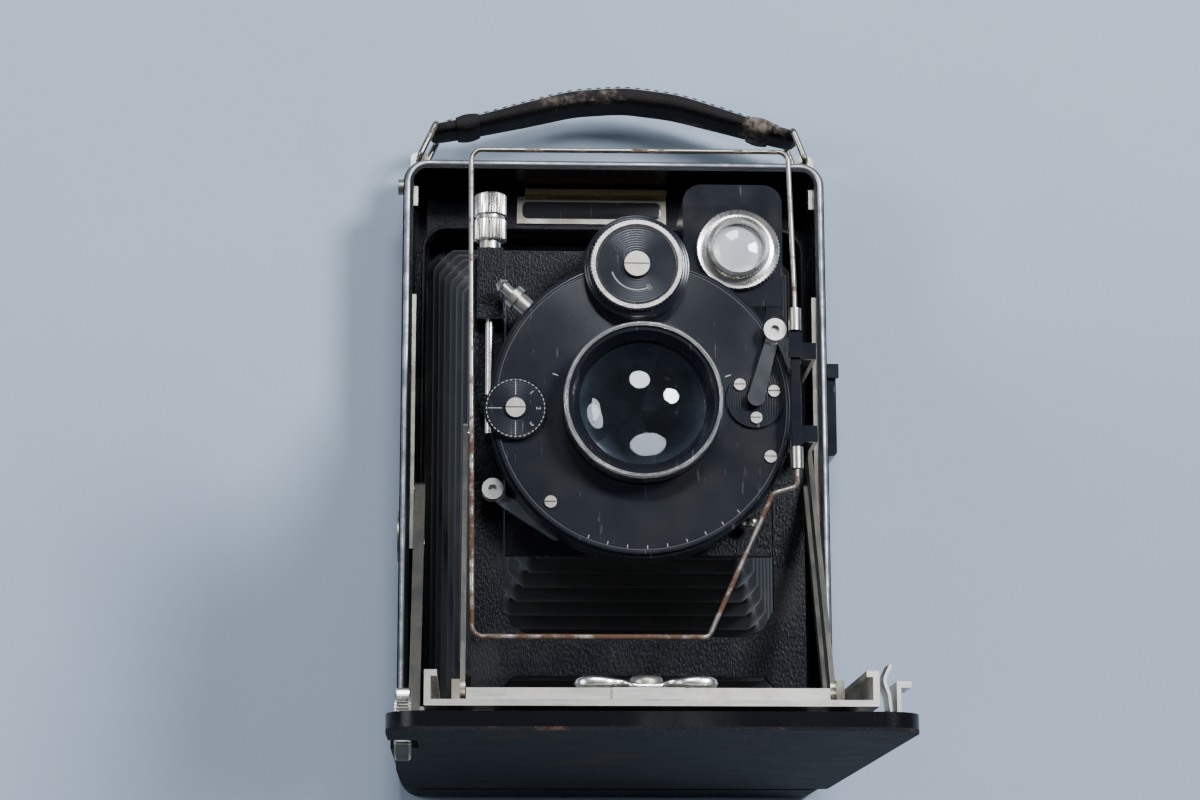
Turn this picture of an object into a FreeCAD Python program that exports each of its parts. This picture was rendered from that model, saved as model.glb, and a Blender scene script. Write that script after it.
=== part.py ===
"""Folding plate camera, open for use, as a parametric FreeCAD document.

The camera lies on its back. X runs across it, Y towards the strap and Z out of the lens.
The origin is the centre of the back face. Every sub-part is written to parts/NODE.step.
"""
import FreeCAD
import Part

import math
import os
import re

import Sketcher
from FreeCAD import Placement, Rotation, Vector

doc = FreeCAD.newDocument("folding_camera")

# Driving dimensions in millimetres: alias, value, what it is.
SIZES = [
    ("body_width", 105, "body, across"),
    ("body_height", 156, "body, from foot to strap side"),
    ("body_depth", 30, "body, back to front rim"),
    ("body_corner", 6, "radius of the body's corners"),
    ("body_wall", 2.6, "wall of the body with its leather"),
    ("leather", 0.7, "thickness of the leather"),
    ("back_depth", 4, "depth of the back frame"),
    ("back_lip", 1, "lip that holds the screen in"),
    ("screen_width", 93, "focusing screen frame, across"),
    ("screen_foot", -72, "lower end of the screen's channel"),
    ("screen_window_width", 82, "opening of the screen frame, across"),
    ("screen_window_height", 112, "opening of the screen frame, along Y"),
    ("slide_gap", 0.2, "clearance of a sliding fit"),
    ("bulkhead_z", 6, "back of the plate that carries the bellows"),
    ("bulkhead_thick", 1.5, "thickness of that plate"),
    ("aperture_width", 84, "opening of the bulkhead, across"),
    ("aperture_foot", -64, "lower edge of the opening"),
    ("aperture_top", 56, "upper edge of the opening"),
    ("panel_foot", 62, "lower edge of the panel above the bellows"),
    ("panel_front", 11.4, "front of that panel"),
    ("bed_length", 149, "bed, hinge end to free end"),
    ("bed_start", 31.4, "where the bed begins along Z"),
    ("bed_width", 100.6, "bed, across"),
    ("bed_thick", 3.6, "bed with its lips and leather"),
    ("bed_sheet", 1.2, "metal sheet of the bed"),
    ("bed_corner", 7, "radius of the bed's free corners"),
    ("notch_depth", 5.7, "notch in the bed for the focusing knob"),
    ("notch_length", 17, "length of that notch"),
    ("knob_z", 150, "focusing shaft along Z"),
    ("knob_y", -74.1, "focusing shaft along Y"),
    ("knob_radius", 7.1, "focusing knob"),
    ("knob_width", 3.2, "focusing knob, across"),
    ("knob_outer", -49.2, "outer face of the focusing knob"),
    ("shaft_radius", 0.8, "focusing shaft"),
    ("pinion_radius", 1.2, "pinion"),
    ("hinge_y", -75.25, "hinge pin along Y"),
    ("hinge_z", 30.75, "hinge pin along Z"),
    ("hinge_pin_radius", 0.35, "hinge pin"),
    ("hinge_knuckle", 0.7, "hinge knuckle, outer radius"),
    ("hinge_half", 44, "half the length of the hinge"),
    ("track_half", 43.2, "half the width of the focusing track"),
    ("track_floor", -72.6, "underside of the focusing track"),
    ("track_sheet", 1.2, "sheet of the focusing track"),
    ("track_top", -65.8, "top of the track's side walls"),
    ("track_lip", 2.4, "lip on the track's side walls"),
    ("track_back", 36, "rear end of the track"),
    ("track_front", 172, "front end of the track"),
    ("carriage_half", 37.4, "half the width of the carriage"),
    ("carriage_floor", -71.3, "underside of the carriage"),
    ("carriage_top", -70.1, "top of the carriage plate"),
    ("carriage_back", 122, "rear end of the carriage"),
    ("carriage_front", 160, "front end of the carriage"),
    ("bar_top", -67.9, "top of the bar on the carriage's front"),
    ("frame_half", 34.5, "half the width of the standard"),
    ("frame_inner", 28, "half the gap between the standard's arms"),
    ("frame_back", 125, "back of the standard's sheet"),
    ("frame_front", 128, "front of the standard's sheet"),
    ("frame_flange_back", 118, "rear edge of the standard's side flanges"),
    ("frame_foot_gap", -62, "top of the arch between the feet"),
    ("frame_sill", -54, "lower edge of the standard's opening"),
    ("frame_left_top", 26, "top of the left arm"),
    ("frame_right_top", 9.5, "top of the right arm"),
    ("board_half", 27.7, "half the width of the lens board"),
    ("board_foot", -37, "lower edge of the lens board"),
    ("board_top", 27.8, "upper edge of the lens board"),
    ("board_back", 125.4, "back of the lens board"),
    ("board_front", 128.2, "front of the lens board"),
    ("board_step_x", 6, "where the board is cut away for the finder"),
    ("board_step_y", 9.1, "height of that cut"),
    ("lens_y", -8.4, "lens axis along Y"),
    ("case_radius", 31.2, "shutter case"),
    ("case_back", 133, "back of the shutter case"),
    ("case_front", 141, "front of the shutter case"),
    ("mount_radius", 20, "tube between the board and the case"),
    ("face_front", 142.2, "front of the shutter's face plate"),
    ("speed_x", -1.2, "speed dial along X"),
    ("speed_y", 20, "speed dial along Y"),
    ("speed_lobe", 11.2, "lobe of the case under the speed dial"),
    ("speed_radius", 10.8, "speed dial, drum"),
    ("speed_ring", 9.6, "speed dial, knurled ring"),
    ("speed_front", 148, "front of the speed dial"),
    ("mode_x", -25.8, "mode dial along X"),
    ("mode_y", -9.4, "mode dial along Y"),
    ("mode_radius", 6.4, "mode dial"),
    ("hub_x", 23.2, "hub of the cocking lever along X"),
    ("hub_y", -7, "hub of the cocking lever along Y"),
    ("hub_radius", 5.9, "hub of the cocking lever"),
    ("lens_rim", 16.2, "outer radius of the lens mount"),
    ("lens_bore", 15.3, "inner radius of the mount's rim"),
    ("lens_clear", 12.9, "clear radius of the front lens"),
    ("lens_front", 149.2, "front of the lens mount"),
    ("rear_cell_radius", 13.5, "rear lens cell"),
    ("rear_cell_back", 112, "back of the rear lens cell"),
    ("wire_radius", 0.5, "wire of the frame finder"),
    ("wire_z", 147.4, "plane of the frame finder"),
    ("wire_axis_x", 31, "hinge line of the frame finder"),
    ("wire_left", -35.2, "left side of the frame finder"),
    ("wire_top", 44.3, "top of the frame finder"),
    ("wire_foot", -56.4, "foot of the frame finder"),
    ("finder_left", 9.5, "reflecting finder, left side"),
    ("finder_right", 30.5, "reflecting finder, right side"),
    ("finder_foot", 15.5, "reflecting finder, lower side"),
    ("finder_top", 42, "reflecting finder, upper side"),
    ("finder_back", 112, "reflecting finder, back"),
    ("finder_front", 131, "reflecting finder, front"),
    ("finder_lens_x", 21, "finder lens along X"),
    ("finder_lens_y", 27.6, "finder lens along Y"),
    ("finder_flange", 8.9, "flange of the finder lens"),
    ("finder_ring", 6.7, "ring of the finder lens"),
    ("finder_glass", 5.3, "glass of the finder lens"),
    ("pivot_x", 28.5, "finder pivot along X"),
    ("pivot_y", 12.5, "finder pivot along Y"),
    ("pivot_ear", 2.2, "ear of the finder pivot"),
    ("rise_x", -31.1, "rising screw along X"),
    ("rise_z", 130.2, "rising screw along Z"),
    ("rise_knob_radius", 3.4, "rising knob"),
    ("rise_knob_foot", 29.2, "lower end of the rising knob"),
    ("rise_knob_top", 39.3, "upper end of the rising knob"),
    ("rise_screw_radius", 0.9, "rising screw"),
    ("bellows_wall", 1.2, "wall of the bellows"),
    ("bellows_front", 125.4, "front end of the bellows"),
    ("bush_y", -15, "tripod bush along Y"),
    ("bush_z", 15, "tripod bush along Z"),
    ("bush_flange", 6.2, "flange of the tripod bush"),
    ("bush_bore", 4, "bore of the tripod bush"),
    ("bush_length", 6.5, "length of the tripod bush"),
    ("bush_proud", 1.3, "how far the bush stands out"),
    ("strut_half", 47.5, "middle of a bed strut along X"),
    ("strut_width", 2.6, "bed strut, across"),
    ("strut_sheet", 1.5, "thickness of a bed strut"),
    ("strut_top_y", -5, "upper end of a strut along Y"),
    ("strut_top_z", 26.5, "upper end of a strut along Z"),
    ("strut_foot_y", -73, "lower end of a strut along Y"),
    ("strut_foot_z", 68, "lower end of a strut along Z"),
    ("strap_low", 8, "rear edge of the strap along Z"),
    ("strap_high", 22, "front edge of the strap along Z"),
    ("strap_thick", 4.6, "thickness of the strap"),
    ("latch_y", 73.3, "latch button along Y"),
    ("latch_z", 20, "latch button along Z"),
    ("foot_hinge_y", 26.4, "hinge of the side foot along Y"),
    ("wing_z", 152, "lock lever's pivot along Z"),
]

sheet = doc.addObject("Spreadsheet::Sheet", "sizes")
for row, (alias, value, words) in enumerate(SIZES, start=1):
    sheet.set(f"A{row}", words)
    sheet.set(f"B{row}", str(value))
    sheet.setAlias(f"B{row}", alias)
doc.recompute()

ALIAS = re.compile(r"\b(" + "|".join(sorted((s[0] for s in SIZES), key=len, reverse=True)) + r")\b")
FULL_TURN = 360
PLANES = {"XY": "XY_Plane", "XZ": "XZ_Plane", "YZ": "YZ_Plane"}
AXES = {"Z": Rotation(), "X": Rotation(Vector(0, 1, 0), 90), "Y": Rotation(Vector(1, 0, 0), -90)}
subparts = []


class Cells:
    """Reads a cell of the sheet as a plain number: cells.body_width."""

    def __getattr__(self, alias):
        return float(sheet.get(alias))


cells = Cells()


def bind(obj, **formulas):
    """Binds properties to formulas in the sheet's aliases. A double underscore stands for a dot."""
    for name, formula in formulas.items():
        obj.setExpression(name.replace("__", "."), ALIAS.sub(r"sizes.\1", str(formula)))


def place(obj, x=0, y=0, z=0):
    """Binds an object's place to formulas, and keeps its rotation."""
    bind(obj, Placement__Base__x=x, Placement__Base__y=y, Placement__Base__z=z)


def keep(obj, label):
    """Marks an object as a sub-part, which is written to a file of that name."""
    obj.Label = label
    subparts.append(obj)
    return obj


def box(name, x, y, z):
    """A box between two formulas along each axis."""
    made = doc.addObject("Part::Box", name)
    bind(made, Length=f"({x[1]})-({x[0]})", Width=f"({y[1]})-({y[0]})", Height=f"({z[1]})-({z[0]})")
    place(made, x[0], y[0], z[0])
    return made


def rod(name, axis, start, radius, length):
    """A cylinder that runs from start along +X, +Y or +Z."""
    made = doc.addObject("Part::Cylinder", name)
    made.Placement = Placement(Vector(), AXES[axis])
    bind(made, Radius=radius, Height=length)
    place(made, *start)
    return made


def cut(name, base, *tools):
    """The base with every tool taken away."""
    made = base
    for count, tool in enumerate(tools):
        last = count == len(tools) - 1
        result = doc.addObject("Part::Cut", name if last else f"{name}_cut_{count}")
        result.Base = made
        result.Tool = tool
        made = result
    return made


def fuse(name, *pieces):
    """One solid from touching pieces."""
    made = doc.addObject("Part::MultiFuse", name)
    made.Shapes = list(pieces)
    made.Refine = True
    return made


def group(name, *pieces):
    """Separate solids that share one node."""
    made = doc.addObject("Part::Compound", name)
    made.Links = list(pieces)
    return made


def mirrored(name, source):
    """The same piece on the other side of the YZ plane."""
    made = doc.addObject("Part::Mirroring", name)
    made.Source = source
    made.Base = Vector()
    made.Normal = Vector(1, 0, 0)
    return made


def rounded(name, base, radius, wanted):
    """Rounds the edges of base that wanted(edge) picks."""
    doc.recompute()
    made = doc.addObject("Part::Fillet", name)
    made.Base = base
    made.Edges = [(i, radius, radius) for i, edge in enumerate(base.Shape.Edges, start=1) if wanted(edge)]
    return made


def along(axis, edge, tolerance=1e-6):
    """True for a straight edge that runs along the axis X, Y or Z."""
    if not isinstance(edge.Curve, Part.Line):
        return False
    return abs(abs(getattr(edge.Curve.Direction, axis.lower())) - 1) < tolerance


def outline(body, name, plane, points, offset=0):
    """A closed sketch of straight lines, each corner held by two formulas."""
    sketch = body.newObject("Sketcher::SketchObject", name)
    role = PLANES[plane]
    sketch.AttachmentSupport = [(f, "") for f in body.Origin.OriginFeatures if f.Role == role]
    sketch.MapMode = "FlatFace"
    bind(sketch, AttachmentOffset__Base__z=offset)
    probe = doc.addObject("App::FeaturePython", f"{name}_corners")
    corners = []
    for i, (u, v) in enumerate(points):
        for part, formula in (("u", u), ("v", v)):
            probe.addProperty("App::PropertyFloat", f"{part}{i}")
            probe.setExpression(f"{part}{i}", ALIAS.sub(r"sizes.\1", str(formula)))
    doc.recompute()
    for i in range(len(points)):
        corners.append(Vector(getattr(probe, f"u{i}"), getattr(probe, f"v{i}"), 0))
    count = len(corners)
    for i, corner in enumerate(corners):
        sketch.addGeometry(Part.LineSegment(corner, corners[(i + 1) % count]))
    for i in range(count):
        sketch.addConstraint(Sketcher.Constraint("Coincident", i, 2, (i + 1) % count, 1))
    for i, corner in enumerate(corners):
        for kind, size, part in (("DistanceX", corner.x, "u"), ("DistanceY", corner.y, "v")):
            index = sketch.addConstraint(Sketcher.Constraint(kind, i, 1, size))
            sketch.setExpression(f"Constraints[{index}]", f"{probe.Name}.{part}{i} * 1mm")
    return sketch


def prism(name, plane, points, start, length, sign=1):
    """A padded outline. The pad runs along the plane's normal, or against it for sign -1."""
    body = doc.addObject("PartDesign::Body", name)
    sketch = outline(body, f"{name}_outline", plane, points, start)
    pad = body.newObject("PartDesign::Pad", f"{name}_pad")
    pad.Profile = sketch
    pad.Reversed = sign < 0
    bind(pad, Length=length)
    return body


def pocket(body, name, plane, points, start, length, sign=1):
    """Takes a padded outline away from a body."""
    sketch = outline(body, f"{name}_outline", plane, points, start)
    made = body.newObject("PartDesign::Pocket", name)
    made.Profile = sketch
    made.Reversed = sign > 0
    bind(made, Length=length)
    return made


def turned(name, profile, x=0, y=0, z=0):
    """A body of revolution about Z. The profile is (radius, height) pairs."""
    body = doc.addObject("PartDesign::Body", name)
    sketch = outline(body, f"{name}_outline", "XZ", profile)
    revolve = body.newObject("PartDesign::Revolution", f"{name}_turn")
    revolve.Profile = sketch
    revolve.ReferenceAxis = (sketch, ["V_Axis"])
    revolve.Angle = FULL_TURN
    place(body, x, y, z)
    return body


def rectangle(x, y):
    """The corners of a rectangle between two pairs of formulas."""
    return [(x[0], y[0]), (x[1], y[0]), (x[1], y[1]), (x[0], y[1])]


def both(formula):
    """The formula on both sides of zero."""
    return (f"-({formula})", formula)


def sculpted(name, shape):
    """A sub-part whose shape is worked out with Part's own functions."""
    made = doc.addObject("Part::Feature", name)
    made.Shape = shape
    made.Placement = Placement()
    return made


def wire_path(points, bends):
    """Straight runs joined by tangent arcs. bends gives each inner corner's radius."""
    edges = []
    last = points[0]
    for before, corner, after, radius in zip(points, points[1:], points[2:], bends):
        into = (corner - before).normalize()
        out = (after - corner).normalize()
        reach = radius * math.tan(into.getAngle(out) / 2)
        start = corner - into * reach
        end = corner + out * reach
        inward = (out - into).normalize()
        middle = corner + inward * (radius / math.cos(into.getAngle(out) / 2) - radius)
        edges += [Part.LineSegment(last, start).toShape(), Part.Arc(start, middle, end).toShape()]
        last = end
    edges.append(Part.LineSegment(last, points[-1]).toShape())
    return Part.Wire(edges)


def swept(path, section):
    """A solid that carries a closed section along a path."""
    return path.makePipeShell([section], True, False, 1)


def round_section(centre, direction, radius):
    """A circle to sweep."""
    return Part.Wire([Part.makeCircle(radius, centre, direction)])


# ---------------------------------------------------------------- the body


def make_body():
    """Sheet metal box, leather skin, back frame, bulkhead and fittings."""
    half_w, half_h = "body_width/2", "body_height/2"
    skin_w, skin_h = f"{half_w}-leather", f"{half_h}-leather"
    in_w, in_h = f"{half_w}-body_wall", f"{half_h}-body_wall"
    corner = cells.body_corner
    outer = rounded("shell_outer", box("shell_block", both(skin_w), both(skin_h), ("back_depth", "body_depth")),
                    corner - cells.leather, lambda e: along("Z", e))
    inner = rounded("shell_inner", box("shell_room", both(in_w), both(in_h), ("back_depth-1", "body_depth+1")),
                    corner - cells.body_wall, lambda e: along("Z", e))
    bush_room = rod("bush_room", "X", ("-body_width/2-1", "bush_y", "bush_z"), "bush_flange-1.4+slide_gap/4", "5")
    button_room = rod("button_room", "X", ("-body_width/2-1", "latch_y", "latch_z"), "1.6+0.05", "5")
    keep(cut("body_shell", outer, inner, bush_room, button_room), "body_shell")

    hide = rounded("hide_outer", box("hide_block", both(half_w), both(half_h), ("back_depth", "body_depth-1.6")),
                   corner, lambda e: along("Z", e))
    core = rounded("hide_inner", box("hide_core", both(skin_w), both(skin_h), ("back_depth-1", "body_depth")),
                   corner - cells.leather, lambda e: along("Z", e))
    bush_hole = rod("bush_hole", "X", ("-body_width/2-1", "bush_y", "bush_z"), "bush_flange+slide_gap", "3")
    button_hole = rod("button_hole", "X", ("-body_width/2-1", "latch_y", "latch_z"), "2+slide_gap", "3")
    keep(cut("body_leather", hide, core, bush_hole, button_hole), "body_leather")

    back = rounded("back_outer", box("back_block", both(half_w), both(half_h), (0, "back_depth")),
                   corner, lambda e: along("Z", e))
    channel = box("back_channel", both("screen_width/2+slide_gap"), ("screen_foot-slide_gap", f"{half_h}+1"),
                  ("back_lip", "back_depth+1"))
    window = box("back_window", both("screen_width/2-2.6"), ("screen_foot+2.6", f"{half_h}+1"), (-1, "back_depth"))
    keep(cut("back_frame", back, channel, window), "back_frame")

    plate = box("bulkhead_plate", both(in_w), both(in_h), ("bulkhead_z", "bulkhead_z+bulkhead_thick"))
    plate = rounded("bulkhead_round", plate, corner - cells.body_wall, lambda e: along("Z", e))
    hole = box("bulkhead_hole", both("aperture_width/2"), ("aperture_foot", "aperture_top"),
               ("bulkhead_z-1", "bulkhead_z+bulkhead_thick+1"))
    panel = box("panel", both(f"{in_w}-3"), ("panel_foot", f"{in_h}-1"),
                ("bulkhead_z+bulkhead_thick", "panel_front"))
    keep(fuse("bulkhead", cut("bulkhead_frame", plate, hole), panel), "bulkhead")
    keep(box("blank_plate", (-24, 14), ("panel_foot+4.4", f"{in_h}-2"), ("panel_front", "panel_front+0.5")),
         "blank_plate")

    guide = box("guide_right", (f"{in_w}-0.9", in_w), (-20, 43.5), ("body_depth-5.2", "body_depth-2"))
    catch = box("catch_right", (f"{in_w}-1", in_w), (f"{in_h}-8.6", f"{in_h}-3.6"), ("body_depth-8", "body_depth-4"))
    keep(group("inner_fittings", guide, mirrored("guide_left", guide), catch, mirrored("catch_left", catch)),
         "inner_fittings")

    bush = turned("tripod_bush", [("bush_bore", 0), ("bush_flange", 0), ("bush_flange", "bush_proud"),
                                  ("bush_flange-1.4", "bush_proud"), ("bush_flange-1.4", "bush_length"),
                                  ("bush_bore", "bush_length")])
    bush.Placement = Placement(Vector(), AXES["X"])
    place(bush, "-body_width/2-bush_proud+leather", "bush_y", "bush_z")
    keep(bush, "tripod_bush")

    lug = box("lug_right", (46.5, 51), (f"{half_h}-5", f"{half_h}+4.6"), ("strap_low+2.4", "strap_high-2.4"))
    lug_eye = rod("lug_eye", "Z", (48.7, f"{half_h}+2.4", "strap_low"), 1.0, "strap_high-strap_low")
    lug_top = rounded("lug_round", cut("lug_cut", lug, hide, lug_eye), 1.8,
                      lambda e: along("Z", e) and e.Vertexes[0].Y > cells.body_height / 2 + 4)
    keep(group("strap_lugs", lug_top, mirrored("lug_left", lug_top)), "strap_lugs")


def make_screen():
    """Focusing screen that slides up and out of the back."""
    half_h = "body_height/2"
    foot, top = "screen_foot", f"{half_h}-0.6"
    frame = box("screen_block", both("screen_width/2"), (foot, top), ("back_lip+slide_gap", "back_depth-slide_gap"))
    step = box("screen_step", both("screen_width/2-2.9"), (f"{foot}+2.9", top), ("slide_gap", "back_lip+slide_gap"))
    hole = box("screen_hole", both("screen_window_width/2"),
               ("-screen_window_height/2", "screen_window_height/2"), (-1, "back_depth+1"))
    keep(cut("screen_frame", fuse("screen_body", frame, step), hole), "screen_frame")
    keep(box("ground_glass", both("screen_window_width/2"),
             ("-screen_window_height/2", "screen_window_height/2"), ("back_lip+0.4", "back_lip+1.8")), "ground_glass")


def make_side_fittings():
    """Latch button and the folding foot on the sides of the body."""
    head = rod("button_head", "X", ("-body_width/2-1.5", "latch_y", "latch_z"), 2, 1.5)
    stem = rod("button_stem", "X", ("-body_width/2", "latch_y", "latch_z"), 1.6, "body_wall")
    keep(fuse("latch_button", head, stem), "latch_button")
    plate = box("foot_plate", ("body_width/2+0.4", "body_width/2+3.2"), (5, "foot_hinge_y"), (10, 20))
    plate = rounded("foot_round", plate, 1.2, lambda e: along("Z", e) and e.Vertexes[0].Y < 10)
    barrel = rod("foot_barrel", "Z", ("body_width/2+2.2", "foot_hinge_y", 10), 1.8, 10)
    bore = rod("foot_bore", "Z", ("body_width/2+2.2", "foot_hinge_y", 9), 0.65, 12)
    keep(cut("side_foot", fuse("foot_body", plate, barrel), bore), "side_foot")
    ears = [box(f"foot_ear_{i}", ("body_width/2", "body_width/2+3.8"), ("foot_hinge_y-1.8", "foot_hinge_y+1.8"),
                (low, low + 1.2)) for i, low in enumerate((8.6, 20.2))]
    pin = rod("foot_pin", "Z", ("body_width/2+2.2", "foot_hinge_y", 9), 0.6, 12)
    keep(fuse("foot_bracket", pin, *ears), "foot_bracket")


# ---------------------------------------------------------------- the bed


def make_bed():
    """Hinged bed with its leather, hinge, struts, rails, shaft bearings and catch."""
    low, high = "-body_height/2", "-body_height/2+bed_thick"
    start, end = "bed_start", "bed_start+bed_length"
    half = "bed_width/2"
    notch = box("bed_notch", (f"-({half})-1", f"-({half})+notch_depth"), (f"{low}-1", f"{high}+1"),
                ("knob_z-notch_length/2", "knob_z+notch_length/2"))
    free_end = cells.bed_start + cells.bed_length - 2

    def free_corner(edge):
        """True for an edge across the thickness at the free end."""
        return along("Y", edge) and edge.Vertexes[0].Z > free_end

    block = rounded("bed_block", box("bed_blank", both(half), (f"{low}+leather", high), (start, end)),
                    cells.bed_corner, free_corner)
    room = rounded("bed_room", box("bed_tray", both(f"{half}-bed_sheet"), (f"{low}+leather+bed_sheet", f"{high}+1"),
                                   (f"{start}-1", f"{end}-bed_sheet")),
                   cells.bed_corner - cells.bed_sheet, free_corner)
    keep(cut("bed_plate", block, room, notch), "bed_plate")
    hide = rounded("bed_hide", box("bed_hide_blank", both(half), (low, f"{low}+leather"), (start, end)),
                   cells.bed_corner, free_corner)
    keep(cut("bed_leather", hide, notch), "bed_leather")

    floor = f"{low}+leather+bed_sheet"
    knuckles = 5
    length = 2 * cells.hinge_half / knuckles
    body_side, bed_side = [], []
    for i in range(knuckles):
        left = f"-hinge_half+{i * length}+0.1"
        eye = rod(f"knuckle_{i}", "X", (left, "hinge_y", "hinge_z"), "hinge_knuckle", length - 0.2)
        bore = rod(f"knuckle_bore_{i}", "X", (f"{left}-1", "hinge_y", "hinge_z"), "hinge_pin_radius+0.05", length + 2)
        right = f"-hinge_half+{(i + 1) * length}-0.1"
        if i % 2 == 0:
            leaf = box(f"leaf_{i}", (left, right), (f"{low}+body_wall", f"{low}+body_wall+0.7"),
                       ("hinge_z-8", "hinge_z"))
            body_side.append(cut(f"body_leaf_{i}", fuse(f"body_knuckle_{i}", eye, leaf), bore))
        else:
            leaf = box(f"leaf_{i}", (left, right), (floor, f"{floor}+0.7"), ("hinge_z", "hinge_z+9"))
            bed_side.append(cut(f"bed_leaf_{i}", fuse(f"bed_knuckle_{i}", eye, leaf), bore))
    pin = rod("hinge_pin", "X", ("-hinge_half", "hinge_y", "hinge_z"), "hinge_pin_radius", "2*hinge_half")
    keep(group("bed_hinge", pin, *body_side, *bed_side), "bed_hinge")

    rail = box("rail_right", (30, 34), (floor, "track_floor-0.1"), (44, f"{end}-14"))
    rail_bore = rod("rail_bore", "X", (29, "knob_y", "knob_z"), "shaft_radius+0.1", 6)
    runner = cut("runner_right", rail, rail_bore)
    guide = box("guide_wall_right", ("track_half+slide_gap", "track_half+slide_gap+1.2"), (floor, "track_floor+3"),
                (78, 140))
    bearings = []
    for name, x in (("bearing_outer", ("-44.4", "-42.4")), ("bearing_inner", ("-28", "-26"))):
        blank = box(f"{name}_block", x, (floor, "track_floor-0.1"), ("knob_z-2.4", "knob_z+2.4"))
        bore = rod(f"{name}_bore", "X", (f"{x[0]}-1", "knob_y", "knob_z"), "shaft_radius+0.05", 4)
        bearings.append(cut(name, blank, bore))
    ear = box("strut_ear_right", (49, "bed_width/2-0.2"), (high, "strut_foot_y+1.7"),
              ("strut_foot_z-3.5", "strut_foot_z+3.5"))
    keep(group("bed_guides", runner, mirrored("runner_left", runner), guide, mirrored("guide_wall_left", guide),
               ear, mirrored("strut_ear_left", ear), *bearings), "bed_guides")

    bracket = box("catch_block", (46.2, 49), (floor, -68), (164, 174))
    bracket = cut("catch_bracket", bracket, box("catch_room", (47, 50), (-74.4, -69.2), (163, 175)))
    keep(group("bed_catch", bracket, catch_spring()), "bed_catch")
    make_struts()


def catch_spring():
    """Curved spring hook beside the track, made by sweeping a flat section."""
    foot = Vector(45.6, cells.bed_sheet + cells.leather - cells.body_height / 2, 169)
    points = [foot, Vector(45.0, -70.4, 169), Vector(44.0, -67.6, 169), Vector(45.4, -64.6, 169)]
    path = wire_path(points, [4, 2.6])
    width, sheet_metal = 7, 0.6
    section = Part.makePolygon([foot + Vector(x, 0, z) for x, z in
                                ((-sheet_metal / 2, -width / 2), (sheet_metal / 2, -width / 2),
                                 (sheet_metal / 2, width / 2), (-sheet_metal / 2, width / 2),
                                 (-sheet_metal / 2, -width / 2))])
    return sculpted("catch_spring", swept(path, section))


def make_struts():
    """Two flat struts that hold the bed square, with their pins."""
    top = Vector(0, cells.strut_top_y, cells.strut_top_z)
    foot = Vector(0, cells.strut_foot_y, cells.strut_foot_z)
    run = foot - top
    across = Vector(0, run.z, -run.y).normalize()
    half = cells.strut_sheet
    inner = cells.strut_half - cells.strut_width / 2
    ends = []
    for middle, sense in ((top, -1), (foot, 1)):
        ends.append((middle + across * half * sense, middle + (run.normalize() * sense) * half,
                     middle - across * half * sense))
    edges = [Part.Arc(*ends[0]).toShape(), Part.LineSegment(ends[0][2], ends[1][0]).toShape(),
             Part.Arc(*ends[1]).toShape(), Part.LineSegment(ends[1][2], ends[0][0]).toShape()]
    profile = Part.Face(Part.Wire(edges))
    bar = profile.extrude(Vector(cells.strut_width, 0, 0))
    bar.translate(Vector(inner, 0, 0))
    pin_length = 49.0 - inner - cells.strut_width
    pins = [Part.makeCylinder(0.6, pin_length, Vector(inner + cells.strut_width, m.y, m.z), Vector(1, 0, 0))
            for m in (top, foot)]
    right = Part.makeCompound([bar] + pins)
    left = right.mirror(Vector(), Vector(1, 0, 0))
    keep(sculpted("bed_struts", Part.makeCompound(right.Solids + left.Solids)), "bed_struts")


def make_focusing():
    """Track that slides on the bed, its rack, and the knob and pinion that drive it."""
    points = [("-track_half", "track_floor"), ("track_half", "track_floor"), ("track_half", "track_top"),
              ("track_half-track_lip", "track_top"), ("track_half-track_lip", "track_top-track_sheet"),
              ("track_half-track_sheet", "track_top-track_sheet"),
              ("track_half-track_sheet", "track_floor+track_sheet"),
              ("-track_half+track_sheet", "track_floor+track_sheet"),
              ("-track_half+track_sheet", "track_top-track_sheet"),
              ("-track_half+track_lip", "track_top-track_sheet"), ("-track_half+track_lip", "track_top"),
              ("-track_half", "track_top")]
    track = prism("track_channel", "XY", points, "track_back", "track_front-track_back")
    pocket(track, "track_window", "XZ", rectangle(both(18), (70, 118)), "-track_floor+1", "track_sheet+2", -1)
    teeth, pitch = 24, 1.0
    face = "track_floor-0.25"
    tooth = box("rack_tooth", (-36, -34.6), (face, "track_floor"), ("knob_z-13", "knob_z-12.5"))
    row = doc.addObject("Part::Feature", "rack_row")
    doc.recompute()
    solids = []
    for i in range(teeth):
        copy = tooth.Shape.copy()
        copy.translate(Vector(0, 0, i * pitch))
        solids.append(copy)
    row.Shape = Part.makeCompound(solids)
    keep(group("focus_track_rack", track, row), "focus_track")

    knob = rod("knob_disc", "X", ("knob_outer", "knob_y", "knob_z"), "knob_radius", "knob_width")
    knob = rounded("focus_knob", knob, 0.5, lambda e: isinstance(e.Curve, Part.Circle))
    keep(knob, "focus_knob")
    shaft = rod("shaft", "X", ("knob_outer+knob_width", "knob_y", "knob_z"), "shaft_radius", "-knob_outer-knob_width-25")
    pinion = rod("pinion", "X", (-36.4, "knob_y", "knob_z"), "pinion_radius", 2.2)
    keep(fuse("pinion_shaft", shaft, pinion), "pinion_shaft")


# ---------------------------------------------------------------- the standard


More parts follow.
